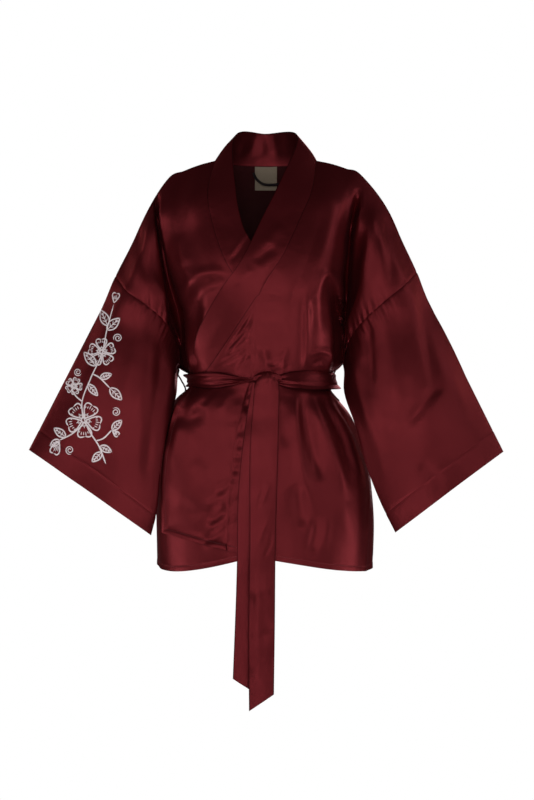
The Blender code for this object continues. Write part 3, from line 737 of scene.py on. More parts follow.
# Folds of the two sleeves' fronts, in the same columns.
sleeveFoldsRight = (
    (((352, 330), (357, 380), (372, 430), (388, 490)), 6, 3, 0),
    (((367, 313), (370, 350), (372, 398)), 5, -3.5, 0),
    (((382, 305), (392, 360), (398, 420)), 8, 3, 0),
    (((416, 280), (424, 330), (433, 384), (438, 398)), 6, -3, 1),
    (((436, 388), (424, 404), (405, 430)), 6, -2.6, 0),
    (((430, 300), (446, 360), (466, 420)), 9, 2.4, 0),
    (((418, 462), (430, 472), (444, 484)), 7, -2, 0),
)
sleeveFoldsLeft = (
    (((172, 340), (172, 380), (166, 430), (158, 500)), 5, 3, 0),
    (((163, 335), (160, 380), (150, 440), (146, 490)), 6, -3.5, 0),
    (((148, 320), (146, 370), (132, 430)), 8, 3, 0),
    (((128, 300), (124, 350), (104, 420)), 8, -2.6, 0),
    (((110, 300), (96, 350), (72, 410)), 9, 2, 0),
)
# Folds of the back, seen in the same picture from the front, through the cloth.
backFolds = (
    (((176, 200), (184, 250), (192, 310), (200, 370)), 8, -5, 0),
    (((356, 200), (348, 250), (340, 310), (332, 370)), 8, -5, 0),
    (((196, 220), (206, 290), (214, 372)), 7, 3.5, 0),
    (((336, 220), (326, 290), (318, 372)), 7, 3.5, 0),
    (((240, 320), (243, 350), (240, 376)), 5, 2.4, 0),
    (((262, 330), (262, 352), (265, 376)), 5, -2.4, 0),
    (((286, 318), (284, 350), (288, 376)), 5, 2.6, 0),
    (((226, 386), (220, 430), (206, 510)), 7, -4, 0),
    (((246, 386), (244, 430), (238, 520)), 7, 3.5, 0),
    (((268, 386), (270, 440), (272, 530)), 7, -4, 0),
    (((290, 386), (296, 430), (308, 520)), 7, 3.5, 0),
    (((308, 388), (322, 430), (338, 500)), 7, -4, 0),
)
# Folds of the neck band.
bandFolds = (
    (((283, 226), (274, 234), (262, 248)), 6, 2.2, 0),
    (((276, 246), (266, 253), (254, 264)), 5, -2.2, 0),
    (((256, 268), (246, 276), (236, 290)), 6, 1.6, 0),
    (((248, 232), (240, 246), (226, 265)), 2.6, 0, 2.2),
    (((242, 128), (243, 142), (240, 158)), 4, -2.4, 0),
    (((252, 128), (253, 142), (251, 158)), 4, 2, 0),
    (((263, 128), (262, 142), (264, 158)), 4, -2.4, 0),
    (((274, 128), (275, 142), (273, 158)), 4, 2, 0),
    (((284, 128), (284, 142), (281, 158)), 4, -2.2, 0),
    (((224, 320), (214, 334), (206, 352)), 5, 1.4, 0),
)

sewing = {
    "groove": 0.6, "grooveWidth": 2.2, "hemWidth": 9, "hemLift": 0.6,
    "hemFlare": 3.2, "hemTuck": -4, "flareReach": 11, "hold": 15, "bandHold": 9, "hollowHold": 14,
    "waistZ": -397, "waistHold": 0.8, "waistReach": 22,
    # Net row under the belt, and the net rows between which the armhole is gathered.
    "beltRow": 5.6, "armRows": (1.6, 5.1),
    # Fullness beside the sleeve seams, how far it reaches, and the picture rows where it comes and goes.
    "armFull": 7, "armReach": 55, "armFrom": 205, "armTo": 345,
    # Share of the drape left on the upper chest, and the picture row where the rest sets in.
    "chestDrape": 0.12, "chestRow": 250,
    # Depth of the cuff's seam line, its half width, and the rise of the cuff past it.
    "cuffLine": 0.3, "cuffLineWidth": 2.0, "cuffRise": 0.25,
}


# One while far from an edge, nothing at it.
def heldAt(away, reach):
    return 1 - bump(away, reach)


# Turned and stitched hem: a step up that starts at the stitch line and a small dip along it.
def hemStep(away):
    step = ease((sewing["hemWidth"] + 1.2 - away) / 1.6) * sewing["hemLift"]
    return step - 0.35 * bump(away - sewing["hemWidth"], 1.4)


# Folds held flat under the belt.
def waistHold(z):
    return 1 - sewing["waistHold"] * bump(z - sewing["waistZ"], sewing["waistReach"])


# Drape of the fronts, which are drawn smooth over the upper chest.
def frontDrape(px, py):
    calm = sewing["chestDrape"]
    return drape(px, py, 11, 0.7) * (calm + (1 - calm) * ease((py - sewing["chestRow"]) / 45))


# Fullness at the sleeve seams: the cloth stands out along the front of each seam, by the same on both sides
# of it.
def armFullness(away, py, lean):
    rows = ease((py - sewing["armFrom"]) / 50) * ease((sewing["armTo"] - py) / 40)
    facing = ease((-lean[..., 1] - 0.35) / 0.4)
    return sewing["armFull"] * bump(away, sewing["armReach"]) * rows * facing


# One in the rows below the belt, nothing above it.
def belowBelt(row):
    return ease((row - sewing["beltRow"]) / 0.8)


# One in the rows along the armhole, nothing at the shoulder and below the underarm.
def besideArm(row):
    first, last = sewing["armRows"]
    return ease((row - first) / 0.8) * ease((last - row) / 0.3)


# Creases of the fronts, where the cloth faces forward, on top of the drape.
def frontCreases(px, py, lean):
    return creaseHeight(px, py, frontFolds) * ease(-lean[..., 1] / 0.45) + frontDrape(px, py)


# Height over a front: folds and drape, held at shoulder, sleeve and band, then seams, gathers and the hem.
def frontHeight(grid, lean, down, seed):
    away = lengthsFromEdges(grid)
    px, py = seenAt(grid)
    row = down[:, None]
    held = waistHold(grid[..., 2])
    folds = frontCreases(px, py, lean)
    folds *= heldAt(away["last"], sewing["hold"]) * heldAt(away["top"], sewing["hold"]) * held
    folds *= 1 - bump(away["first"], sewing["bandHold"]) * (1 - ease(row - jacket["bandTopRow"]))
    depth = {"first": 0.5 + 1.3 * belowBelt(row), "last": 1, "top": 0.5}
    for edge, deep in depth.items():
        folds -= sewing["groove"] * deep * bump(away[edge], sewing["grooveWidth"])
    along = away["top"][:, :1]
    folds += pucker(along, away["first"], seed, 0.9, 30, 3.5) * belowBelt(row) * held
    beside = ease((row - 1) / 0.5) * ease((6.4 - row) / 0.8)
    folds += pucker(along, away["first"], seed + 1, 0.12, 17, 5) * beside
    folds += pucker(away["top"][:, -1:], away["last"], seed + 2, 0.8, 12, 6) * besideArm(row)
    folds += armFullness(away["last"], py, lean)
    return folds + hemStep(away["bottom"])


# Height over an overlap panel: the front's folds run on across its seam, its free side is hemmed, and its
# hems turn out or in by the flare.
def overlapHeight(grid, lean, down, seed, flare):
    away = lengthsFromEdges(grid)
    px, py = seenAt(grid)
    row = down[:, None]
    held, free = waistHold(grid[..., 2]), ease((row - jacket["bandEndRow"]) / 0.3)
    folds = frontCreases(px, py, lean) * held
    folds *= 1 - bump(away["first"], sewing["bandHold"]) * (1 - ease(row - jacket["bandTopRow"]))
    folds *= 1 - bump(away["last"], sewing["bandHold"]) * (1 - ease((row - 5.7) / 0.6))
    seam = bump(away["first"], sewing["grooveWidth"]) * (0.5 + 1.3 * belowBelt(row))
    bandSeam = 0.5 * bump(away["last"], sewing["grooveWidth"]) * (1 - ease((row - 5.9) / 0.2))
    folds -= sewing["groove"] * (seam + bandSeam)
    folds += pucker(away["top"][:, :1], away["first"], seed, 0.22, 30, 6) * belowBelt(row) * held
    reach = sewing["flareReach"]
    turned = flare * np.maximum(bump(away["bottom"], reach), bump(away["last"], reach) * free)
    return folds + turned + np.maximum(hemStep(away["bottom"]), hemStep(away["last"]) * free)


# Height over the back, with the folds of its own side.
def backHeight(grid, lean, down, seed):
    away = lengthsFromEdges(grid)
    px, py = seenAt(grid)
    folds = creaseHeight(px, py, backFolds) * ease(lean[..., 1] / 0.45) + drape(px, py, 12, 1.0)
    folds *= waistHold(grid[..., 2])
    for edge, deep in (("first", 1), ("last", 1), ("top", 0.5)):
        folds *= heldAt(away[edge], sewing["hold"])
        folds -= sewing["groove"] * deep * bump(away[edge], sewing["grooveWidth"])
    row = down[:, None]
    for edge, column in (("first", slice(0, 1)), ("last", slice(-1, None))):
        folds += pucker(away["top"][:, column], away[edge], seed, 0.8, 12, 6) * besideArm(row)
    return folds + hemStep(away["bottom"])


# Height over the neck band, sewn along its first column and folded along its last.
def bandHeight(grid):
    away = lengthsFromEdges(grid)
    px, py = seenAt(grid)
    folds = creaseHeight(px, py, bandFolds) + drape(px, py, 13, 0.6, 1.2)
    folds *= heldAt(away["first"], sewing["bandHold"])
    folds *= 1 - 0.9 * bump(away["last"], 16) * ease((grid[..., 2] + 20) / 30)
    folds += pucker(away["top"][:, :1], away["first"], 31, 0.2, 15, 5)
    return folds - 0.5 * sewing["groove"] * bump(away["first"], sewing["grooveWidth"])


# Height over a sleeve and its cuff band: folds on both faces, the armhole's gathers and the line of the cuff
# seam.
def sleeveHeight(grid, lean, cuffRow, creases, seed):
    away = lengthsFromEdges(grid)
    px, py = seenAt(grid)
    face = ease(np.abs(lean[..., 1]) / 0.45)
    folds = creaseHeight(px, py, creases) * face * np.where(lean[..., 1] < 0, 1, 0.8)
    folds = (folds + drape(px, py, seed, 0.55) * face) * heldAt(away["top"], sewing["hold"])
    folds -= sewing["groove"] * bump(away["top"], sewing["grooveWidth"])
    folds += armFullness(away["top"], py, lean)
    ring = np.arange(grid.shape[1]) / grid.shape[1]
    low = ease((0.42 - np.abs(ring - 0.5)) / 0.2)
    folds += pucker(away["first"][:1], away["top"], seed, 0.9, 12, 7) * low[None, :]
    seam = away["top"] - away["top"][cuffRow]
    folds -= sewing["cuffLine"] * bump(seam, sewing["cuffLineWidth"])
    return folds + sewing["cuffRise"] * ease(seam / 2.5)


# The smooth cloth of all pieces before it is creased, the sleeve row of the cuff seams and the rows down.
def smoothCloth():
    columns, backColumns = jacket["frontColumns"], jacket["backColumns"]
    near = (0.016, 0.036, 0.058, 0.07, 0.082, 0.1)
    down = closeAtEnds(jacket["lastRow"], jacket["lastRow"] * jacket["rowSteps"], near)
    across = closeAtEnds(columns, columns * jacket["columnSteps"])
    keys = ("underarmRow", "bandTopRow", "bandEndRow")
    arm, top, end = (int(np.argmin(np.abs(down - jacket[key]))) for key in keys)
    lift = jacket["wrapLift"]
    right = weavePatch(frontNet(upperRight, lowerRight, 1, lift), across, down, (columns,))
    left = weavePatch(frontNet(upperLeft, lowerLeft, -1, 0.0), across, down, (columns,))
    neckPlaces = np.linspace(*jacket["neckColumns"], 4 * jacket["neckSteps"] + 1)
    backAcross = np.concatenate([across, neckPlaces[1:-1], backColumns - across[::-1]])
    back = weavePatch(backNet(), backAcross, down, (0, backColumns), jacket["neckColumns"])
    low = down[top:] - jacket["bandTopRow"]
    overRight = overlapPanel(right[top:, 0], overlapRight, low, lift, jacket["overlapLift"])
    overLeft = overlapPanel(left[top:, 0], overlapLeft, low, 0.0, 0.0)
    neck = back[0, len(across) - 1:len(across) - 1 + len(neckPlaces)]
    # The band's seam runs up the left front, round the neck and down the right front.
    rows = end - top + 1
    seam = [overLeft[:rows, -1][::-1], left[:top + 1, 0][::-1], neck[1:-1]]
    seam += [right[:top + 1, 0], overRight[:rows, -1]]
    lower, upper = 0.95 * low[:rows], down[:top + 1]
    behind = 6 + np.linspace(0, 2, len(neck))[1:-1]
    places = [1.9 - lower[::-1], 6 - upper[::-1], behind, 8 + upper, 12.1 + lower]
    band = neckBand(np.concatenate(seam), np.concatenate(places), lift)
    place = down[:arm + 1] / jacket["underarmRow"]
    sleeveRight, share = sleeveRings(right[:arm + 1, -1], back[:arm + 1, -1], place, sleeves["cuffRight"], 2)
    sleeveLeft, _ = sleeveRings(left[:arm + 1, -1], back[:arm + 1, 0], place, sleeves["cuffLeft"], 3)
    cuffRow = int(np.argmin(np.abs(share - sleeves["cuffStart"])))
    cloth = {
        "back": back, "front_left": right, "front_right": left,
        "front_left_overlap": overRight, "front_right_overlap": overLeft, "collar_band": band,
        "sleeve_left": sleeveRight, "sleeve_right": sleeveLeft,
    }
    return cloth, cuffRow, down


# The cloth pieces as grids that face outwards, in the order in which they are sewn.
def jacketPieces():
    cloth, cuffRow, down = smoothCloth()
    overDown = down[len(down) - len(cloth["front_left_overlap"]):]
    heights = {
        "back": lambda g, n: backHeight(g, n, down, 21),
        "front_left": lambda g, n: frontHeight(g, n, down, 22),
        "front_right": lambda g, n: frontHeight(g, n, down, 24),
        "front_left_overlap": lambda g, n: overlapHeight(g, n, overDown, 26, sewing["hemFlare"]),
        "front_right_overlap": lambda g, n: overlapHeight(g, n, overDown, 27, sewing["hemTuck"]),
        "collar_band": lambda g, n: bandHeight(g[::-1].transpose(1, 0, 2)).T[::-1],
        "sleeve_left": lambda g, n: sleeveHeight(g, n, cuffRow, sleeveFoldsRight, 28),
        "sleeve_right": lambda g, n: sleeveHeight(g, n, cuffRow, sleeveFoldsLeft, 29),
    }
    cloth["collar_band"] = cloth["collar_band"].transpose(1, 0, 2)[::-1]
    mirrored = ("front_left", "front_right_overlap", "sleeve_right")
    pieces = []
    for name, grid in cloth.items():
        turn = slice(None, None, -1 if name in mirrored else 1)
        pieces.append({"name": name, "grid": grid[:, turn], "turn": turn, "ring": name.startswith("sleeve")})
    shareNormals(pieces)
    for piece in pieces:
        grid, turn = piece["grid"], piece["turn"]
        height = heights[piece["name"]](grid[:, turn], piece["lean"][:, turn])[:, turn]
        if piece["name"] in ("front_left", "front_right"):
            away = lengthsFromEdges(grid[:, turn])["last"][:, turn]
            grid = grid + hollowMove(*seenAt(grid)) * ease(away / sewing["hollowHold"])[..., None]
        piece["grid"] = grid + piece["lean"] * height[..., None]
    shareNormals(pieces)
    return pieces, cuffRow, down


# Works out a piece's flat size, its longest row and column, and its area, that of all its quads at most the
# flat size;
# nothing is kept.
def declareSheet(grid, ring=False):
    closed = closedRound(grid) if ring else grid
    lengths = lengthsFromEdges(closed)
    width, length = lengths["first"][:, -1].max() * mm, lengths["top"][-1].max() * mm
    facets = np.cross(np.diff(closed, axis=1)[:-1], np.diff(closed, axis=0)[:, :-1])
    area = np.linalg.norm(facets, axis=-1).sum() * mm ** 2
    min(area, width * length)


# Gives each point of a band its distance from the nearer of the two long edges: the mask of the painted
# shadow line along them.
def markEdges(piece, grid):
    away = lengthsFromEdges(grid)
    upright = away["first"][:, -1].max() < away["top"][-1].max()
    near, far = ("first", "last") if upright else ("top", "bottom")
    edge = piece.data.attributes.new("edge", "FLOAT", "POINT")
    edge.data.foreach_set("value", np.tile(np.minimum(away[near], away[far]).ravel() * mm, 2))


clothPieces, cuffRow, backRows = jacketPieces()
made = {}
for piece in clothPieces:
    thick = jacket["doubleCloth"] if "band" in piece["name"] else jacket["cloth"]
    parts = {piece["name"]: slice(None)}
    if piece["ring"]:
        cuff = piece["name"].replace("sleeve", "cuff_band")
        parts = {piece["name"]: slice(0, cuffRow + 1), cuff: slice(cuffRow, None)}
    for name, rows in parts.items():
        # Inner skins show the wrong side, dull and darkened with painted shade.
        inside = None if "band" in name else wrongSideShadedFinish
        # The neck band gets the painted shadow line along its long edges.
        finish = edgeShadowFinish if name == "collar_band" else satinFinish
        grid, lean = piece["grid"][rows], piece["lean"][rows]
        made[name] = putShell(name + "_cloth", grid, lean, thick, piece["ring"], finish, inside)
        if finish == edgeShadowFinish:
            markEdges(made[name], grid)
        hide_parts(name)
        declareSheet(grid, piece["ring"])
print("cloth pieces made")

belt = {
    "z": -397, "top": -388, "lift": (10.5, 12.0), "ends": (2.6, 1.4), "steps": 220, "shares": 17,
    # Half height by angle round the waist from the front.
    "half": np.array((
        (-180, 14), (-90, 11), (-55, 12.5), (-36, 14.5), (-21, 10.5), (-9, 4.5), (0, 4), (8, 6), (18, 12.5),
        (30, 16), (60, 15.5), (90, 14), (180, 14),
    ), float),
    # Tails: z, left x, right x.
    "tailFront": np.array((
        (-408.75, -20, 24), (-500, -27, 22), (-680, -28, 17), (-835, -30, 15.5), (-954, -29, 14),
    )),
    "tailBack": np.array((
        (-401.8, -24, 20), (-470, -35, 10), (-590, -48, 1), (-715, -50, -2), (-928, -57, -11),
    )),
    "tailLift": (17.2, 11), "tailTips": (14, -15), "edgeRoll": 0.5, "hemZ": -738,
    # How far the tails swing forward and turn as they hang: amount, z of the start, length of the change.
    "sway": (11, -560, 380), "yaw": (7, -520, 220),
    # How far the sash's lower edge stands out on the viewer's left and right.
    "lowerOut": (1.6, 7.5),
    # The hood over the tie, as y, z along its middle, and the tie's place and half sizes.
    "hoodPath": ((-112, -399), (-111, -389), (-117, -381.5), (-125, -384.5), (-129, -394), (-129.5, -405)),
    "hoodHalf": 22, "tieHang": 128, "tieAt": (3, -118.5, -394), "tieHalf": (25, 6.5, 8.5),
}
# Creases of the front tail, in the columns of the other folds.
tailFolds = (
    (((270, 482), (266, 494), (261, 506)), 1.7, 1, 0),
    (((264, 486), (260, 498), (257, 512)), 1.7, -1, 0),
    (((268, 520), (262, 534), (258, 548)), 2, 1, 0),
    (((272, 530), (270, 545), (264, 558)), 1.7, -1, 0),
    (((250, 640), (262, 634), (275, 622)), 10, -3, 0),
    (((250, 600), (262, 592), (275, 588)), 10, 2.4, 0),
    (((248, 676), (262, 668), (276, 664)), 9, 2.6, 0),
    (((256, 560), (258, 620), (258, 690)), 4, 1.2, 0),
)


# Band round the waist from beside the knot back to it; it bunches into lengthwise folds where it is low.
def waistBelt():
    angle = np.radians(np.linspace(belt["ends"][0], 360 + belt["ends"][1], belt["steps"]))
    turn = np.degrees(np.arctan2(np.sin(angle), np.cos(angle)))
    half = smoothCurve(turn, belt["half"][:, 0], belt["half"][:, 1])
    lift = belt["lift"][1] + (belt["lift"][0] - belt["lift"][1]) * ease((np.cos(angle) + 0.1) / 0.5)
    share = np.linspace(-1, 1, belt["shares"])[:, None]
    bunch = ease((15.5 - half) / 9)
    line = 0.35 + 0.2 * np.sin(angle * 1.5)
    full = 1.2 * (1 - share ** 2) - 1.1 * bump(share + line, 0.16) + 0.7 * bump(share + line - 0.22, 0.2)
    full = full + bunch * 1.2 * np.cos(2.6 * np.pi * share + 0.5) + 0.35 * np.sin(angle * 7 + share * 2)
    out = np.where(turn > 0, belt["lowerOut"][1], belt["lowerOut"][0])
    full = full + (1 - share) * out * ease((np.abs(turn) - 12) / 16) * ease((150 - np.abs(turn)) / 40)
    ring = roundBody(angle + 0 * share, np.minimum(belt["z"] + share * half, belt["top"]), lift + full)
    ring[..., 2] = belt["z"] + share * half
    return ring


# Hanging end: straight rows between its two edges, in front of the skirt and then free, with a slanted tip.
def beltTail(table, lift, tip, creases, seed, columns=21, rows=150):
    z = np.linspace(table[0, 0], table[-1, 0], rows)
    left, right = (smoothCurve(z, table[:, 0], table[:, k]) for k in (1, 2))
    share = np.linspace(0, 1, columns)[None, :]
    x = left[:, None] + (right - left)[:, None] * share
    hang = frontDepth(0 * z, np.maximum(z, belt["hemZ"]), lift)
    fromTie = belt["tieHang"] + lift - belt["tailLift"][0]
    hang = (hang - fromTie - np.sqrt((hang + fromTie) ** 2 + 9)) / 2
    drop = np.linspace(0, 1, rows)[:, None] ** 4 * tip
    y = hang[:, None] - 2.0 * np.sin(np.pi * share) + belt["edgeRoll"] * np.abs(2 * share - 1) ** 12
    moves = (belt["sway"], belt["yaw"])
    sway, yaw = (most * ease((start - z[:, None]) / length) for most, start, length in moves)
    y = y - sway + yaw * (share - 0.5)
    grid = np.stack([x, y + 0 * x, z[:, None] - drop * (0.5 - share) * 2], -1)
    px, py = seenAt(grid)
    grid[..., 1] -= creaseHeight(px, py, creases) + drape(px, py, seed, 0.6, 1.2)
    return grid


# The front end's start: it comes up behind the tie, over its top and down in front, as a hood that is
# rounded across, and runs on into the hanging end.
def beltHood(tail):
    columns = tail.shape[1]
    path = np.array(belt["hoodPath"] + ((tail[3, columns // 2, 1], tail[3, 0, 2]),), float)
    along = splineWeights(np.linspace(0, len(path) - 1, 40), len(path)) @ path
    share = np.linspace(-1, 1, columns)[None, :]
    grow = np.linspace(0, 1, len(along))[:, None]
    top, tieX = tail[3], belt["tieAt"][0]
    half = belt["hoodHalf"] + (np.abs(top[-1, 0] - top[0, 0]) / 2 - belt["hoodHalf"]) * ease(grow)
    middle = tieX + (top[:, 0].mean() - tieX) * ease(grow)
    loose = 1 - ease((grow - 0.45) / 0.55)
    x = middle + share * half * (1 - 0.12 * loose)
    y = along[:, :1] + (7 * share ** 2 - 0.9 * np.cos(5.5 * np.pi * share)) * loose
    y = y + (top[None, :, 1] - top[columns // 2, 1]) * ease(grow)
    z = along[:, 1:] - 9 * np.abs(share) ** 2.2 * loose * ease(grow / 0.25 + 0.3)
    hood = np.stack([x, y, z], -1)
    return np.concatenate([hood[:-1], tail[3:]])


# The tie under the hood: a spindle of cloth drawn in from both sides, with folds that run into it.
def beltTie():
    along = np.linspace(-1, 1, 49)[:, None]
    turn = np.linspace(0, 2 * np.pi, 49)[None, :-1]
    body = (1 - np.abs(along) ** 2.4) ** 0.55 * 0.86 + 0.14
    fold = 1 + 0.1 * np.cos(5 * turn + 1.4 * along) + 0.05 * np.cos(9 * turn - 2 * along)
    x = belt["tieAt"][0] + belt["tieHalf"][0] * along + 0 * turn
    y = belt["tieAt"][1] + belt["tieHalf"][1] * body * fold * np.cos(turn)
    z = belt["tieAt"][2] + belt["tieHalf"][2] * body * fold * np.sin(turn) + 2.5 * (1 - along ** 2)
    return np.stack([x, y, z], -1)


frontTail = beltTail(belt["tailFront"], belt["tailLift"][0], belt["tailTips"][0], tailFolds, 41)
beltParts = {
    "belt_waist": waistBelt(),
    "belt_tail_front": beltHood(frontTail)[:, ::-1],
    "belt_tail_back": beltTail(belt["tailBack"], belt["tailLift"][1], belt["tailTips"][1], (), 42)[:, ::-1],
    "belt_knot": beltTie(),
}
# The waist band and the tails get the painted shadow line along their long edges; the tie does not.
for name, grid in beltParts.items():
    tied = name == "belt_knot"
    finish = satinFinish if tied else edgeShadowFinish
    made[name] = putShell(name + "_cloth", grid, gridNormals(grid, tied), jacket["doubleCloth"], tied, finish)
    if not tied:
        markEdges(made[name], grid)
    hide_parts(name)
    declareSheet(grid, tied)
print("belt made")


# Twisted cord along a smooth path: rings whose radius swells with the strands that wind round it.
def putCord(name, path, radius, strands, lay, finish, rings=90, count=14):
    path = np.array(path, float)
    line = splineWeights(np.linspace(0, len(path) - 1, rings), len(path)) @ path
    along = unit(np.gradient(line, axis=0))
    first = unit(np.cross(along, np.array((0.31, 0.93, 0.17))))
    second = np.cross(along, first)
    length = lengthAlong(line)[:, None]
    turn = np.linspace(0, 2 * np.pi, count, endpoint=False)[None, :]
    swell = radius * (0.9 + 0.1 * np.cos(strands * (turn + 2 * np.pi * length / lay)))
    ends = np.ones(rings)
    ends[[0, -1]] = 0.05
    swell = (swell * ends[:, None])[..., None]
    spokes = np.cos(turn)[..., None] * first[:, None] + np.sin(turn)[..., None] * second[:, None]
    grid = line[:, None] + swell * spokes
    index = np.arange(rings * count).reshape(rings, count)
    caps = [index[0, ::-1].tolist(), index[-1].tolist()]
    place = np.stack([turn * radius + 0 * length, length + 0 * turn], -1)
    wide = np.concatenate([place, place[:, :1] + np.array((2 * np.pi * radius, 0))], 1)
    corners = np.concatenate([quads(wide).reshape(-1, 2), place[0, ::-1], place[-1]])
    return putMesh(name, grid.reshape(-1, 3), quads(closedRound(index)).tolist() + caps, corners, finish, 80)


# Thread and cord: strands that wind along the piece, with painted highlight on their crowns and painted shade
# between them.
def threadWires(light, dark, pitch):
    def wires(wire):
        place = wire.clothPlace()
        u, v, _ = place.split()
        lines = (u * (2 * np.pi / pitch) + v * (3.1 / pitch)).sine()
        noise = wire.noise(place, 900.0, 2.0)
        # Lighter on the strands' crowns and darker between them: painted highlight and shade.
        tone = lines * 0.25 + noise * 0.5 + 0.25
        normal = (lines * 0.00006 + noise * 0.00003).raised(0.7)
        return {"Base Color": tone.mixed(dark, light), "Roughness": 0.45 + noise * 0.25, "Normal": normal}

    return wires


cordWires = threadWires((0.02, 0.009, 0.011, 1), (0.006, 0.003, 0.004, 1), 0.0009)
cordFinish = finishOf("hanging cord", {"Specular IOR Level": 0.3}, cordWires)
chainWires = threadWires((0.07, 0.01, 0.014, 1), (0.03, 0.004, 0.006, 1), 0.0008)
chainFinish = finishOf("belt loop thread", {"Specular IOR Level": 0.35}, chainWires)


# Woven label: warp and weft crossing, pale cream with a soft mottle.
def labelWires(wire):
    place = wire.clothPlace()
    u, v, _ = place.split()
    weave = (u * 9000).sine() * (v * 9000).sine()
    mottle = wire.noise(place, 260.0, 3.0)
    tone = weave * 0.25 + mottle * 0.6 + 0.2
    colour = tone.mixed((0.29, 0.225, 0.16, 1), (0.4, 0.32, 0.235, 1))
    normal = (weave * 0.00004 + mottle * 0.0001).raised(0.6)
    return {"Base Color": colour, "Roughness": 0.62 + mottle * 0.15, "Normal": normal}


labelFinish = finishOf("woven label", {"Specular IOR Level": 0.25, "Sheen Weight": 0.1}, labelWires)

neckTrim = {
    "labelHalf": 20, "labelRows": (0.01, 0.78), "labelLift": 1.0, "labelThick": 0.7,
    # Hanging loop: distance across, row of the back panel, lift off it.
    "loop": ((-23, 0.2, 2.1), (-17, 0.42, 5), (-4, 0.58, 5.6), (15, 0.6, 6.4), (26, 0.56, 2.1)),
    "loopRadius": 2.6,
    # Belt loops: angle round the waist, lift of the ends, z of the lower end.
    "beltLoops": {"belt_loop_left": (1.2, 6.0, -434), "belt_loop_right": (-1.32, 2.6, -426)},
    "beltLoopRadius": 1.5, "beltLoopTop": -366, "beltLoopSpan": (-380, -413), "beltLoopLift": 13,
}


# Points inside the back panel at distances across and rows down, found between the panel's own points.
def insideBack(x, rows, lift):
    grid = clothPieces[0]["grid"]
    line = np.interp(rows, backRows, np.arange(len(backRows)))
    first = np.minimum(line.astype(int), len(grid) - 2)
    share = (line - first)[:, None, None]
    middle = slice(grid.shape[1] // 2 - 24, grid.shape[1] // 2 + 25)
    strip = grid[first][:, middle] * (1 - share) + grid[first + 1][:, middle] * share
    inside = [[np.interp(x, row[:, 0], row[:, k]) for k in range(3)] for row in strip]
    inside = np.array(inside).transpose(0, 2, 1)
    inside[..., 1] -= jacket["cloth"] + lift
    return inside


# Bare label: a flat woven piece whose lower corners curl away from the back a little.
def labelGrid():
    x = np.linspace(-neckTrim["labelHalf"], neckTrim["labelHalf"], 33)
    rows = np.linspace(*neckTrim["labelRows"], 41)
    grid = insideBack(x, rows, neckTrim["labelLift"])
    side, low = np.abs(x / neckTrim["labelHalf"])[None, :], np.linspace(0, 1, 41)[:, None]
    grid[..., 1] -= 0.8 * side ** 4 * low ** 2 + 0.3 * np.sin(low * 7)
    return grid


label = labelGrid()[:, ::-1]
labelLean = gridNormals(label)
made["label"] = putShell("label_cloth_piece", label, labelLean, neckTrim["labelThick"], False, labelFinish)
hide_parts("label")
declareSheet(label)
loopPath = [insideBack(np.array([x]), np.array([row]), lift)[0, 0] for x, row, lift in neckTrim["loop"]]
made["hang_loop"] = putCord("hang_loop_cord", loopPath, neckTrim["loopRadius"], 3, 6, cordFinish)
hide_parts("hang_loop")
for name, (angle, end, low) in neckTrim["beltLoops"].items():
    upper, lower = ((z, neckTrim["beltLoopLift"]) for z in neckTrim["beltLoopSpan"])
    route = ((neckTrim["beltLoopTop"], end), upper, lower, (low, end))
    path = [roundBody(np.array(angle), np.array(float(z)), lift) for z, lift in route]
    made[name] = putCord(name + "_thread", path, neckTrim["beltLoopRadius"], 3, 5, chainFinish)
    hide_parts(name)
print("label and loops made")

# Rows of stitches: piece, the edge they follow, distance from it in millimetres, share of the edge at both
# ends.
stitches = {
    "long": 2.7, "pitch": 3.9, "half": 0.28, "rise": 0.3,
    "rows": (
        ("back", "bottom", 9, 0, 1), ("front_left", "bottom", 9, 0, 1), ("front_right", "bottom", 9, 0, 1),
        ("front_left_overlap", "bottom", 9, 0, 1), ("front_left_overlap", "last", 9, 0.45, 0.97),
    ),
}


# Line on a piece at one distance from its edge, with the cloth's normals there.
def stitchLine(name, edge, away, start, end):
    piece = next(piece for piece in clothPieces if piece["name"] == name)
    grid, lean = piece["grid"], piece["lean"]
    if edge == "last":
        grid, lean = grid.transpose(1, 0, 2), lean.transpose(1, 0, 2)
    lengths = lengthsFromEdges(grid)["bottom"]
    span = slice(int(start * (grid.shape[1] - 1)), int(end * (grid.shape[1] - 1)) + 1)
    column = np.arange(grid.shape[1])[span]
    row = np.array([np.interp(-away, -lengths[:, k], np.arange(len(grid))) for k in column])
    low = np.minimum(row.astype(int), len(grid) - 2)
    share = (row - low)[:, None]
    return [table[low, column] * (1 - share) + table[low + 1, column] * share for table in (grid, lean)]


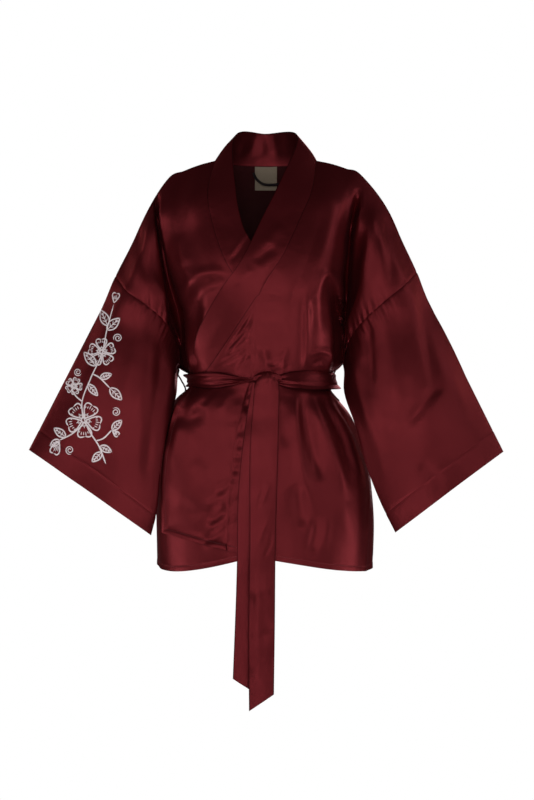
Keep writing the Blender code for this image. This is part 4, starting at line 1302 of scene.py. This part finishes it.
# Stitches along a line: each is a short bar of three five-sided rings that dips into the cloth at both ends.
def putStitches(name, lines, finish):
    turn = np.linspace(0, 2 * np.pi, 5, endpoint=False)
    rings = []
    for line, lean in lines:
        length = lengthAlong(line)
        start = np.arange(2, length[-1] - 4, stitches["pitch"])[:, None]
        at = start + np.array((0, 0.5, 1)) * stitches["long"]
        middle = np.stack([np.interp(at, length, line[:, k]) for k in range(3)], -1)
        out = unit(np.stack([np.interp(at, length, lean[:, k]) for k in range(3)], -1))
        along = unit(middle[:, 2:] - middle[:, :1])
        side = unit(np.cross(out, along + 0 * out))
        middle = middle + out * (stitches["rise"] * np.array((-0.6, 0.5, -0.6)))[None, :, None]
        spokes = np.cos(turn)[:, None] * side[:, :, None] + np.sin(turn)[:, None] * out[:, :, None]
        rings.append(middle[:, :, None] + stitches["half"] * spokes)
    rings = np.concatenate(rings)
    index = np.arange(15).reshape(3, 5)
    first = index.size * np.arange(len(rings))[:, None]
    faces = (quads(closedRound(index))[None] + first[..., None]).reshape(-1, 4).tolist()
    for cap in (index[0, ::-1], index[-1]):
        faces += (cap[None] + first).tolist()
    return putMesh(name, rings.reshape(-1, 3), faces, None, finish, 80)


stitchFinish = finishOf("sewing thread", {
    "Base Color": (0.13, 0.016, 0.02, 1), "Roughness": 0.42, "Specular IOR Level": 0.4,
}, lambda wire: {})
made["stitches"] = putStitches("hem_stitches", [stitchLine(*row) for row in stitches["rows"]], stitchFinish)
print("hems stitched")

# Sprig sewn on the front of one sleeve: places in picture pixels, thread half widths and heights in
# millimetres.
sprig = {
    "sleeve": "sleeve_right", "halfWidth": 1.4, "fineWidth": 1.0, "rise": 0.75, "sink": 0.15,
    "stems": (
        ((106, 464), (99, 446), (88, 428), (82, 404), (91, 378), (102, 354), (107, 330), (114, 304)),
        ((83, 402), (76, 396), (72, 389)),
        ((96, 441), (104, 438), (112, 430)),
        ((93, 374), (100, 378), (110, 388)),
        ((84, 424), (72, 434), (60, 440)),
    ),
    # Flowers: x, y, radius, turn.
    "flowers": ((84, 420, 19, 0.25), (102, 352, 14.5, 0.9), (74, 386, 9, 0.1)),
    # Leaves: base x, y, tip x, y, fullness.
    "leaves": (
        (107, 330, 120, 318, 0.24), (108, 326, 101, 310, 0.24), (96, 366, 84, 352, 0.22),
        (110, 388, 122, 400, 0.24), (100, 378, 112, 374, 0.24), (66, 437, 54, 428, 0.24),
        (60, 440, 50, 446, 0.26), (112, 430, 122, 420, 0.24), (100, 446, 112, 452, 0.24),
        (102, 452, 92, 462, 0.24), (88, 384, 98, 396, 0.2),
    ),
    # Buds: base x, y, tip x, y.
    "buds": ((114, 304, 117, 292), (112, 430, 119, 436), (60, 440, 53, 455)),
    # Curls: x, y, radius, turn.
    "curls": ((118, 338, 4.5, 2.6), (78, 372, 4, 0.4), (116, 412, 4.5, 4.0), (70, 450, 4.5, 1.2)),
}


# Petal outline: a closed curve out from the flower's middle, full towards a notched tip, turned into place.
def petalLine(x, y, reach, full, turn):
    way = np.linspace(-np.pi, np.pi, 41)
    along = reach * (0.56 - 0.42 * np.cos(way) - 0.1 * bump(np.abs(way) - np.pi, 0.45))
    across = full * reach * np.sin(way) * (0.62 - 0.38 * np.cos(way))
    cosine, sine = np.cos(turn), np.sin(turn)
    return np.stack([x + along * cosine - across * sine, y + along * sine + across * cosine], -1)


# Points of a ring or a spiral round a middle, at angles, with a radius for all or one for each.
def roundLine(x, y, radius, way):
    return np.array((x, y)) + radius * np.concatenate([np.cos(way), np.sin(way)], 1)


# Short lines that fan out between two reaches from the flower's middle.
def fanLines(x, y, reach, turn, spread, count, inner, outer):
    lines = []
    for k, lean in enumerate(np.linspace(-spread, spread, count)):
        out = outer - 0.14 * abs(lean / spread) - 0.06 * (k % 2)
        share = np.array((inner, (inner + out) / 2, out))[:, None] * reach
        lines.append(np.array((x, y)) + share * np.array((np.cos(turn + lean), np.sin(turn + lean))))
    return lines


# Leaf of two bowed sides, a middle rib and slanted side ribs.
def leafLines(x0, y0, x1, y1, full):
    base, tip = np.array((x0, y0), float), np.array((x1, y1), float)
    along = tip - base
    across = np.array((-along[1], along[0])) * full
    share = np.linspace(0, 1, 13)[:, None]
    bow = np.sin(np.pi * share ** 0.85)
    lines = [base + along * share + side * across * bow for side in (-1, 1)]
    lines.append(base + along * np.linspace(0, 0.86, 5)[:, None])
    for at in (0.25, 0.45, 0.65):
        for side in (-1, 1):
            end = base + along * (at + 0.17) + side * across * 0.66 * np.sin(np.pi * (at + 0.17) ** 0.85)
            lines.append(np.stack([base + along * at, (base + along * at + end) / 2, end]))
    return lines


# Every thread line of the sprig, with its half width.
def sprigLines():
    wide, fine = sprig["halfWidth"], sprig["fineWidth"]
    lines = [(np.array(stem, float), wide) for stem in sprig["stems"]]
    for x, y, reach, turn in sprig["flowers"]:
        for k in range(5):
            way = turn + 2 * np.pi * k / 5
            lines.append((petalLine(x, y, reach, 0.52, way), wide))
            lines += [(line, fine) for line in fanLines(x, y, reach, way, 0.42, 6, 0.62, 0.9)]
            lines += [(line, fine) for line in fanLines(x, y, reach, way, 0.2, 3, 0.24, 0.5)]
        ring = np.linspace(0, 2 * np.pi, 17)[:, None]
        lines.append((roundLine(x, y, reach * 0.13, ring), wide))
    for leaf in sprig["leaves"]:
        sides = leafLines(*leaf)
        lines += [(line, wide if k < 2 else fine) for k, line in enumerate(sides)]
    for x0, y0, x1, y1 in sprig["buds"]:
        reach, turn = np.hypot(x1 - x0, y1 - y0), np.arctan2(y1 - y0, x1 - x0)
        lines.append((petalLine(x0, y0, reach, 0.4, turn), wide))
        lines += [(line, fine) for line in fanLines(x0, y0, reach, turn, 0.24, 4, 0.35, 0.85)]
    for x, y, reach, turn in sprig["curls"]:
        way = np.linspace(0, 3.6 * np.pi, 30)[:, None]
        lines.append((roundLine(x, y, reach * (1 - way / 14), way + turn), fine))
    return lines


# Points and normals on the sleeve's front at picture places: the nearest grid point, then a step along the
# grid.
def onSleeve(place):
    piece = next(piece for piece in clothPieces if piece["name"] == sprig["sleeve"])
    grid, lean = piece["grid"], piece["lean"]
    flat = np.stack(seenAt(grid), -1)
    hidden = np.where(lean[..., 1] < -0.05, 0, 1e6)
    near = []
    for part in np.array_split(place, len(place) // 300 + 1):
        near.append((((part[:, None, None] - flat) ** 2).sum(-1) + hidden).reshape(len(part), -1).argmin(1))
    r, c = np.unravel_index(np.concatenate(near), hidden.shape)
    r, c = np.clip(r, 1, len(grid) - 2), np.clip(c, 1, grid.shape[1] - 2)
    over, down = (flat[r, c + 1] - flat[r, c - 1]) / 2, (flat[r + 1, c] - flat[r - 1, c]) / 2
    miss = place - flat[r, c]
    area = over[:, 0] * down[:, 1] - over[:, 1] * down[:, 0]
    s = np.clip((miss[:, 0] * down[:, 1] - miss[:, 1] * down[:, 0]) / area, -1.2, 1.2)[:, None]
    t = np.clip((over[:, 0] * miss[:, 1] - over[:, 1] * miss[:, 0]) / area, -1.2, 1.2)[:, None]

    def moved(table):
        overStep, downStep = table[r, c + 1] - table[r, c - 1], table[r + 1, c] - table[r - 1, c]
        return table[r, c] + s * overStep / 2 + t * downStep / 2

    return moved(grid), unit(moved(lean))


# Padded thread lines: a low domed section carried along each line on the cloth, closed at both ends.
def putThreads(name, lines, onCloth, finish, count=6):
    turn = np.linspace(0, 2 * np.pi, count, endpoint=False) + np.pi / count
    points, faces, corners, start = [], [], [], 0
    paths = []
    for line, half in lines:
        steps = int(np.clip(np.linalg.norm(np.diff(line, axis=0), axis=1).sum() / 0.9, 5, 70))
        paths.append((splineWeights(np.linspace(0, len(line) - 1, steps), len(line)) @ line, half))
    centre, up = onCloth(np.concatenate([path for path, _ in paths]))
    for path, half in paths:
        n = len(path)
        middle, out = centre[start:start + n], up[start:start + n]
        start += n
        along = unit(np.gradient(middle, axis=0))
        side = unit(np.cross(out, along))
        fromEnd = np.minimum(np.linspace(0, 1, n), np.linspace(1, 0, n))
        taper = ease(fromEnd * n / 2.2 + 0.15)[:, None]
        rise = np.sin(turn) * np.where(np.sin(turn) > 0, sprig["rise"], sprig["sink"])
        ring = middle[:, None] + (np.cos(turn) * half * taper)[..., None] * side[:, None]
        ring = ring + (rise * taper)[..., None] * out[:, None]
        base = sum(len(block) for block in points)
        index = base + np.arange(n * count).reshape(n, count)
        faces += quads(closedRound(index)).tolist()
        faces += [index[0, ::-1].tolist(), index[-1].tolist()]
        length, strand = lengthAlong(middle)[:, None], 0.7 * np.arange(count + 1)[None]
        place = np.stack([strand + 0 * length, length + 0 * strand], -1)
        corners += [quads(place).reshape(-1, 2), place[0, :-1][::-1], place[-1, :-1]]
        points.append(ring.reshape(-1, 3))
    return putMesh(name, np.concatenate(points), faces, np.concatenate(corners), finish, 70)


# Embroidery floss: fine strands laid across each line, with a soft lustre.
def flossWires(wire):
    place = wire.clothPlace()
    u, v, _ = place.split()
    strand = (v * 9000 + u * 1500).sine()
    noise = wire.noise(place, 420.0, 3.0)
    tone = strand * 0.18 + noise * 0.7 + 0.2
    colour = tone.mixed((0.66, 0.55, 0.57, 1), (0.9, 0.82, 0.84, 1))
    normal = (strand * 0.00008 + noise * 0.00006).raised(0.8)
    return {"Base Color": colour, "Roughness": 0.4 + noise * 0.25, "Normal": normal}


flossFixed = {"Specular IOR Level": 0.4, "Sheen Weight": 0.15, "Sheen Roughness": 0.4}
flossFinish = finishOf("embroidery floss", flossFixed, flossWires)
made["sprig"] = putThreads("sleeve_sprig", sprigLines(), onSleeve, flossFinish)
print("sprig sewn on")

# Camera at the picture's place, and a studio of soft lights.
studio = {
    "floorZ": -1620, "floorRadius": 1000, "floor": (0.9, 0.9, 0.89, 1),
    # Backdrop's light, and its colour where it is seen straight.
    "glow": (0.06, 0.06, 0.06, 1), "backdrop": (1, 1, 1, 1),
    # All lights are square and aim at one place. Lights: name, place, width, power, in metres and watts.
    "aim": (0, 0, -0.4),
    "lights": (
        ("frontUnder", (0, -2.45, -2.46), 1.0, 18.1),
        ("frontLow", (0, -3.09, -1.23), 1.0, 8.5),
        ("front", (0, -3.15, 0.16), 1.0, 12.3),
        ("frontRightLow", (1.39, -2.62, -1.6), 1.0, 4.8),
        ("frontRight", (1.48, -2.78, 0.16), 1.0, 5.7),
        ("frontLeft", (-1.48, -2.78, 0.16), 1.0, 9.5),
        ("rightFrontLow", (2.46, -1.72, -1.49), 1.1, 3.8),
        ("rightFront", (2.56, -1.8, 0.27), 1.1, 6.6),
        ("leftFrontLow", (-2.46, -1.72, -1.49), 1.1, 5.7),
        ("leftFront", (-2.56, -1.8, 0.27), 1.1, 9.5),
        ("right", (3.12, -0.44, -0.96), 1.1, 19.9),
        ("rightHigh", (2.74, -0.39, 1.2), 1.1, 7.6),
        ("left", (-3.12, -0.44, -0.96), 1.1, 19),
        ("backLeft", (-2.84, 1.32, 0.27), 1.1, 10.4),
        ("backRight", (2.84, 1.32, 0.27), 1.1, 7.6),
        ("backHigh", (0.6, 3.0, 0.9), 1.6, 22),
        ("backLow", (0.2, 3.1, -0.9), 1.6, 12),
    ),
}


# Turn of a light that looks from its place to the common aim.
def aimedFrom(place):
    return (Vector(studio["aim"]) - Vector(place)).to_track_quat("-Z", "Y").to_euler()


# The picture's camera, the lights and a plain backdrop that gives little light of its own.
def setStudio():
    scene = bpy.context.scene
    lens = bpy.data.cameras.new("camera")
    lens.lens, lens.sensor_width, lens.clip_end = picture["lens"], picture["sensor"], picture["clipEnd"]
    camera = bpy.data.objects.new("camera", lens)
    camera.location = (picture["cameraX"] * mm, -picture["cameraDistance"] * mm, picture["cameraZ"] * mm)
    camera.rotation_euler = (np.pi / 2, 0, 0)
    scene.collection.objects.link(camera)
    scene.camera = camera
    for name, place, width, power in studio["lights"]:
        lamp = bpy.data.lights.new(name, "AREA")
        lamp.shape, lamp.size, lamp.size_y, lamp.energy = "RECTANGLE", width, width, power
        light = bpy.data.objects.new(name, lamp)
        light.location, light.rotation_euler = place, aimedFrom(place)
        scene.collection.objects.link(light)
    world = bpy.data.worlds.new("studio")
    world.use_nodes = True
    scene.world = world
    tree = world.node_tree
    wire = Wire(tree)
    seen = wire.node("ShaderNodeLightPath").mixed(studio["glow"], studio["backdrop"])
    tree.links.new(seen.socket, tree.nodes["Background"].inputs["Color"])
    scene.view_settings.view_transform = "Standard"


# Pale floor disc below the jacket.
def setFloor():
    turn = np.linspace(0, 2 * np.pi, 97)[:-1]
    rim = np.stack([np.cos(turn), np.sin(turn), 0 * turn], -1) * studio["floorRadius"]
    points = rim + np.array((0, 0, studio["floorZ"]))
    mesh = bpy.data.meshes.new("floor")
    mesh.from_pydata((points * mm).tolist(), [], [list(range(len(points)))])
    fixed = {"Base Color": studio["floor"], "Roughness": 0.7}
    mesh.materials.append(finishOf("pale floor", fixed, lambda wire: {}))
    floor = bpy.data.objects.new("floor", mesh)
    bpy.context.scene.collection.objects.link(floor)


setStudio()
setFloor()
print("studio set")
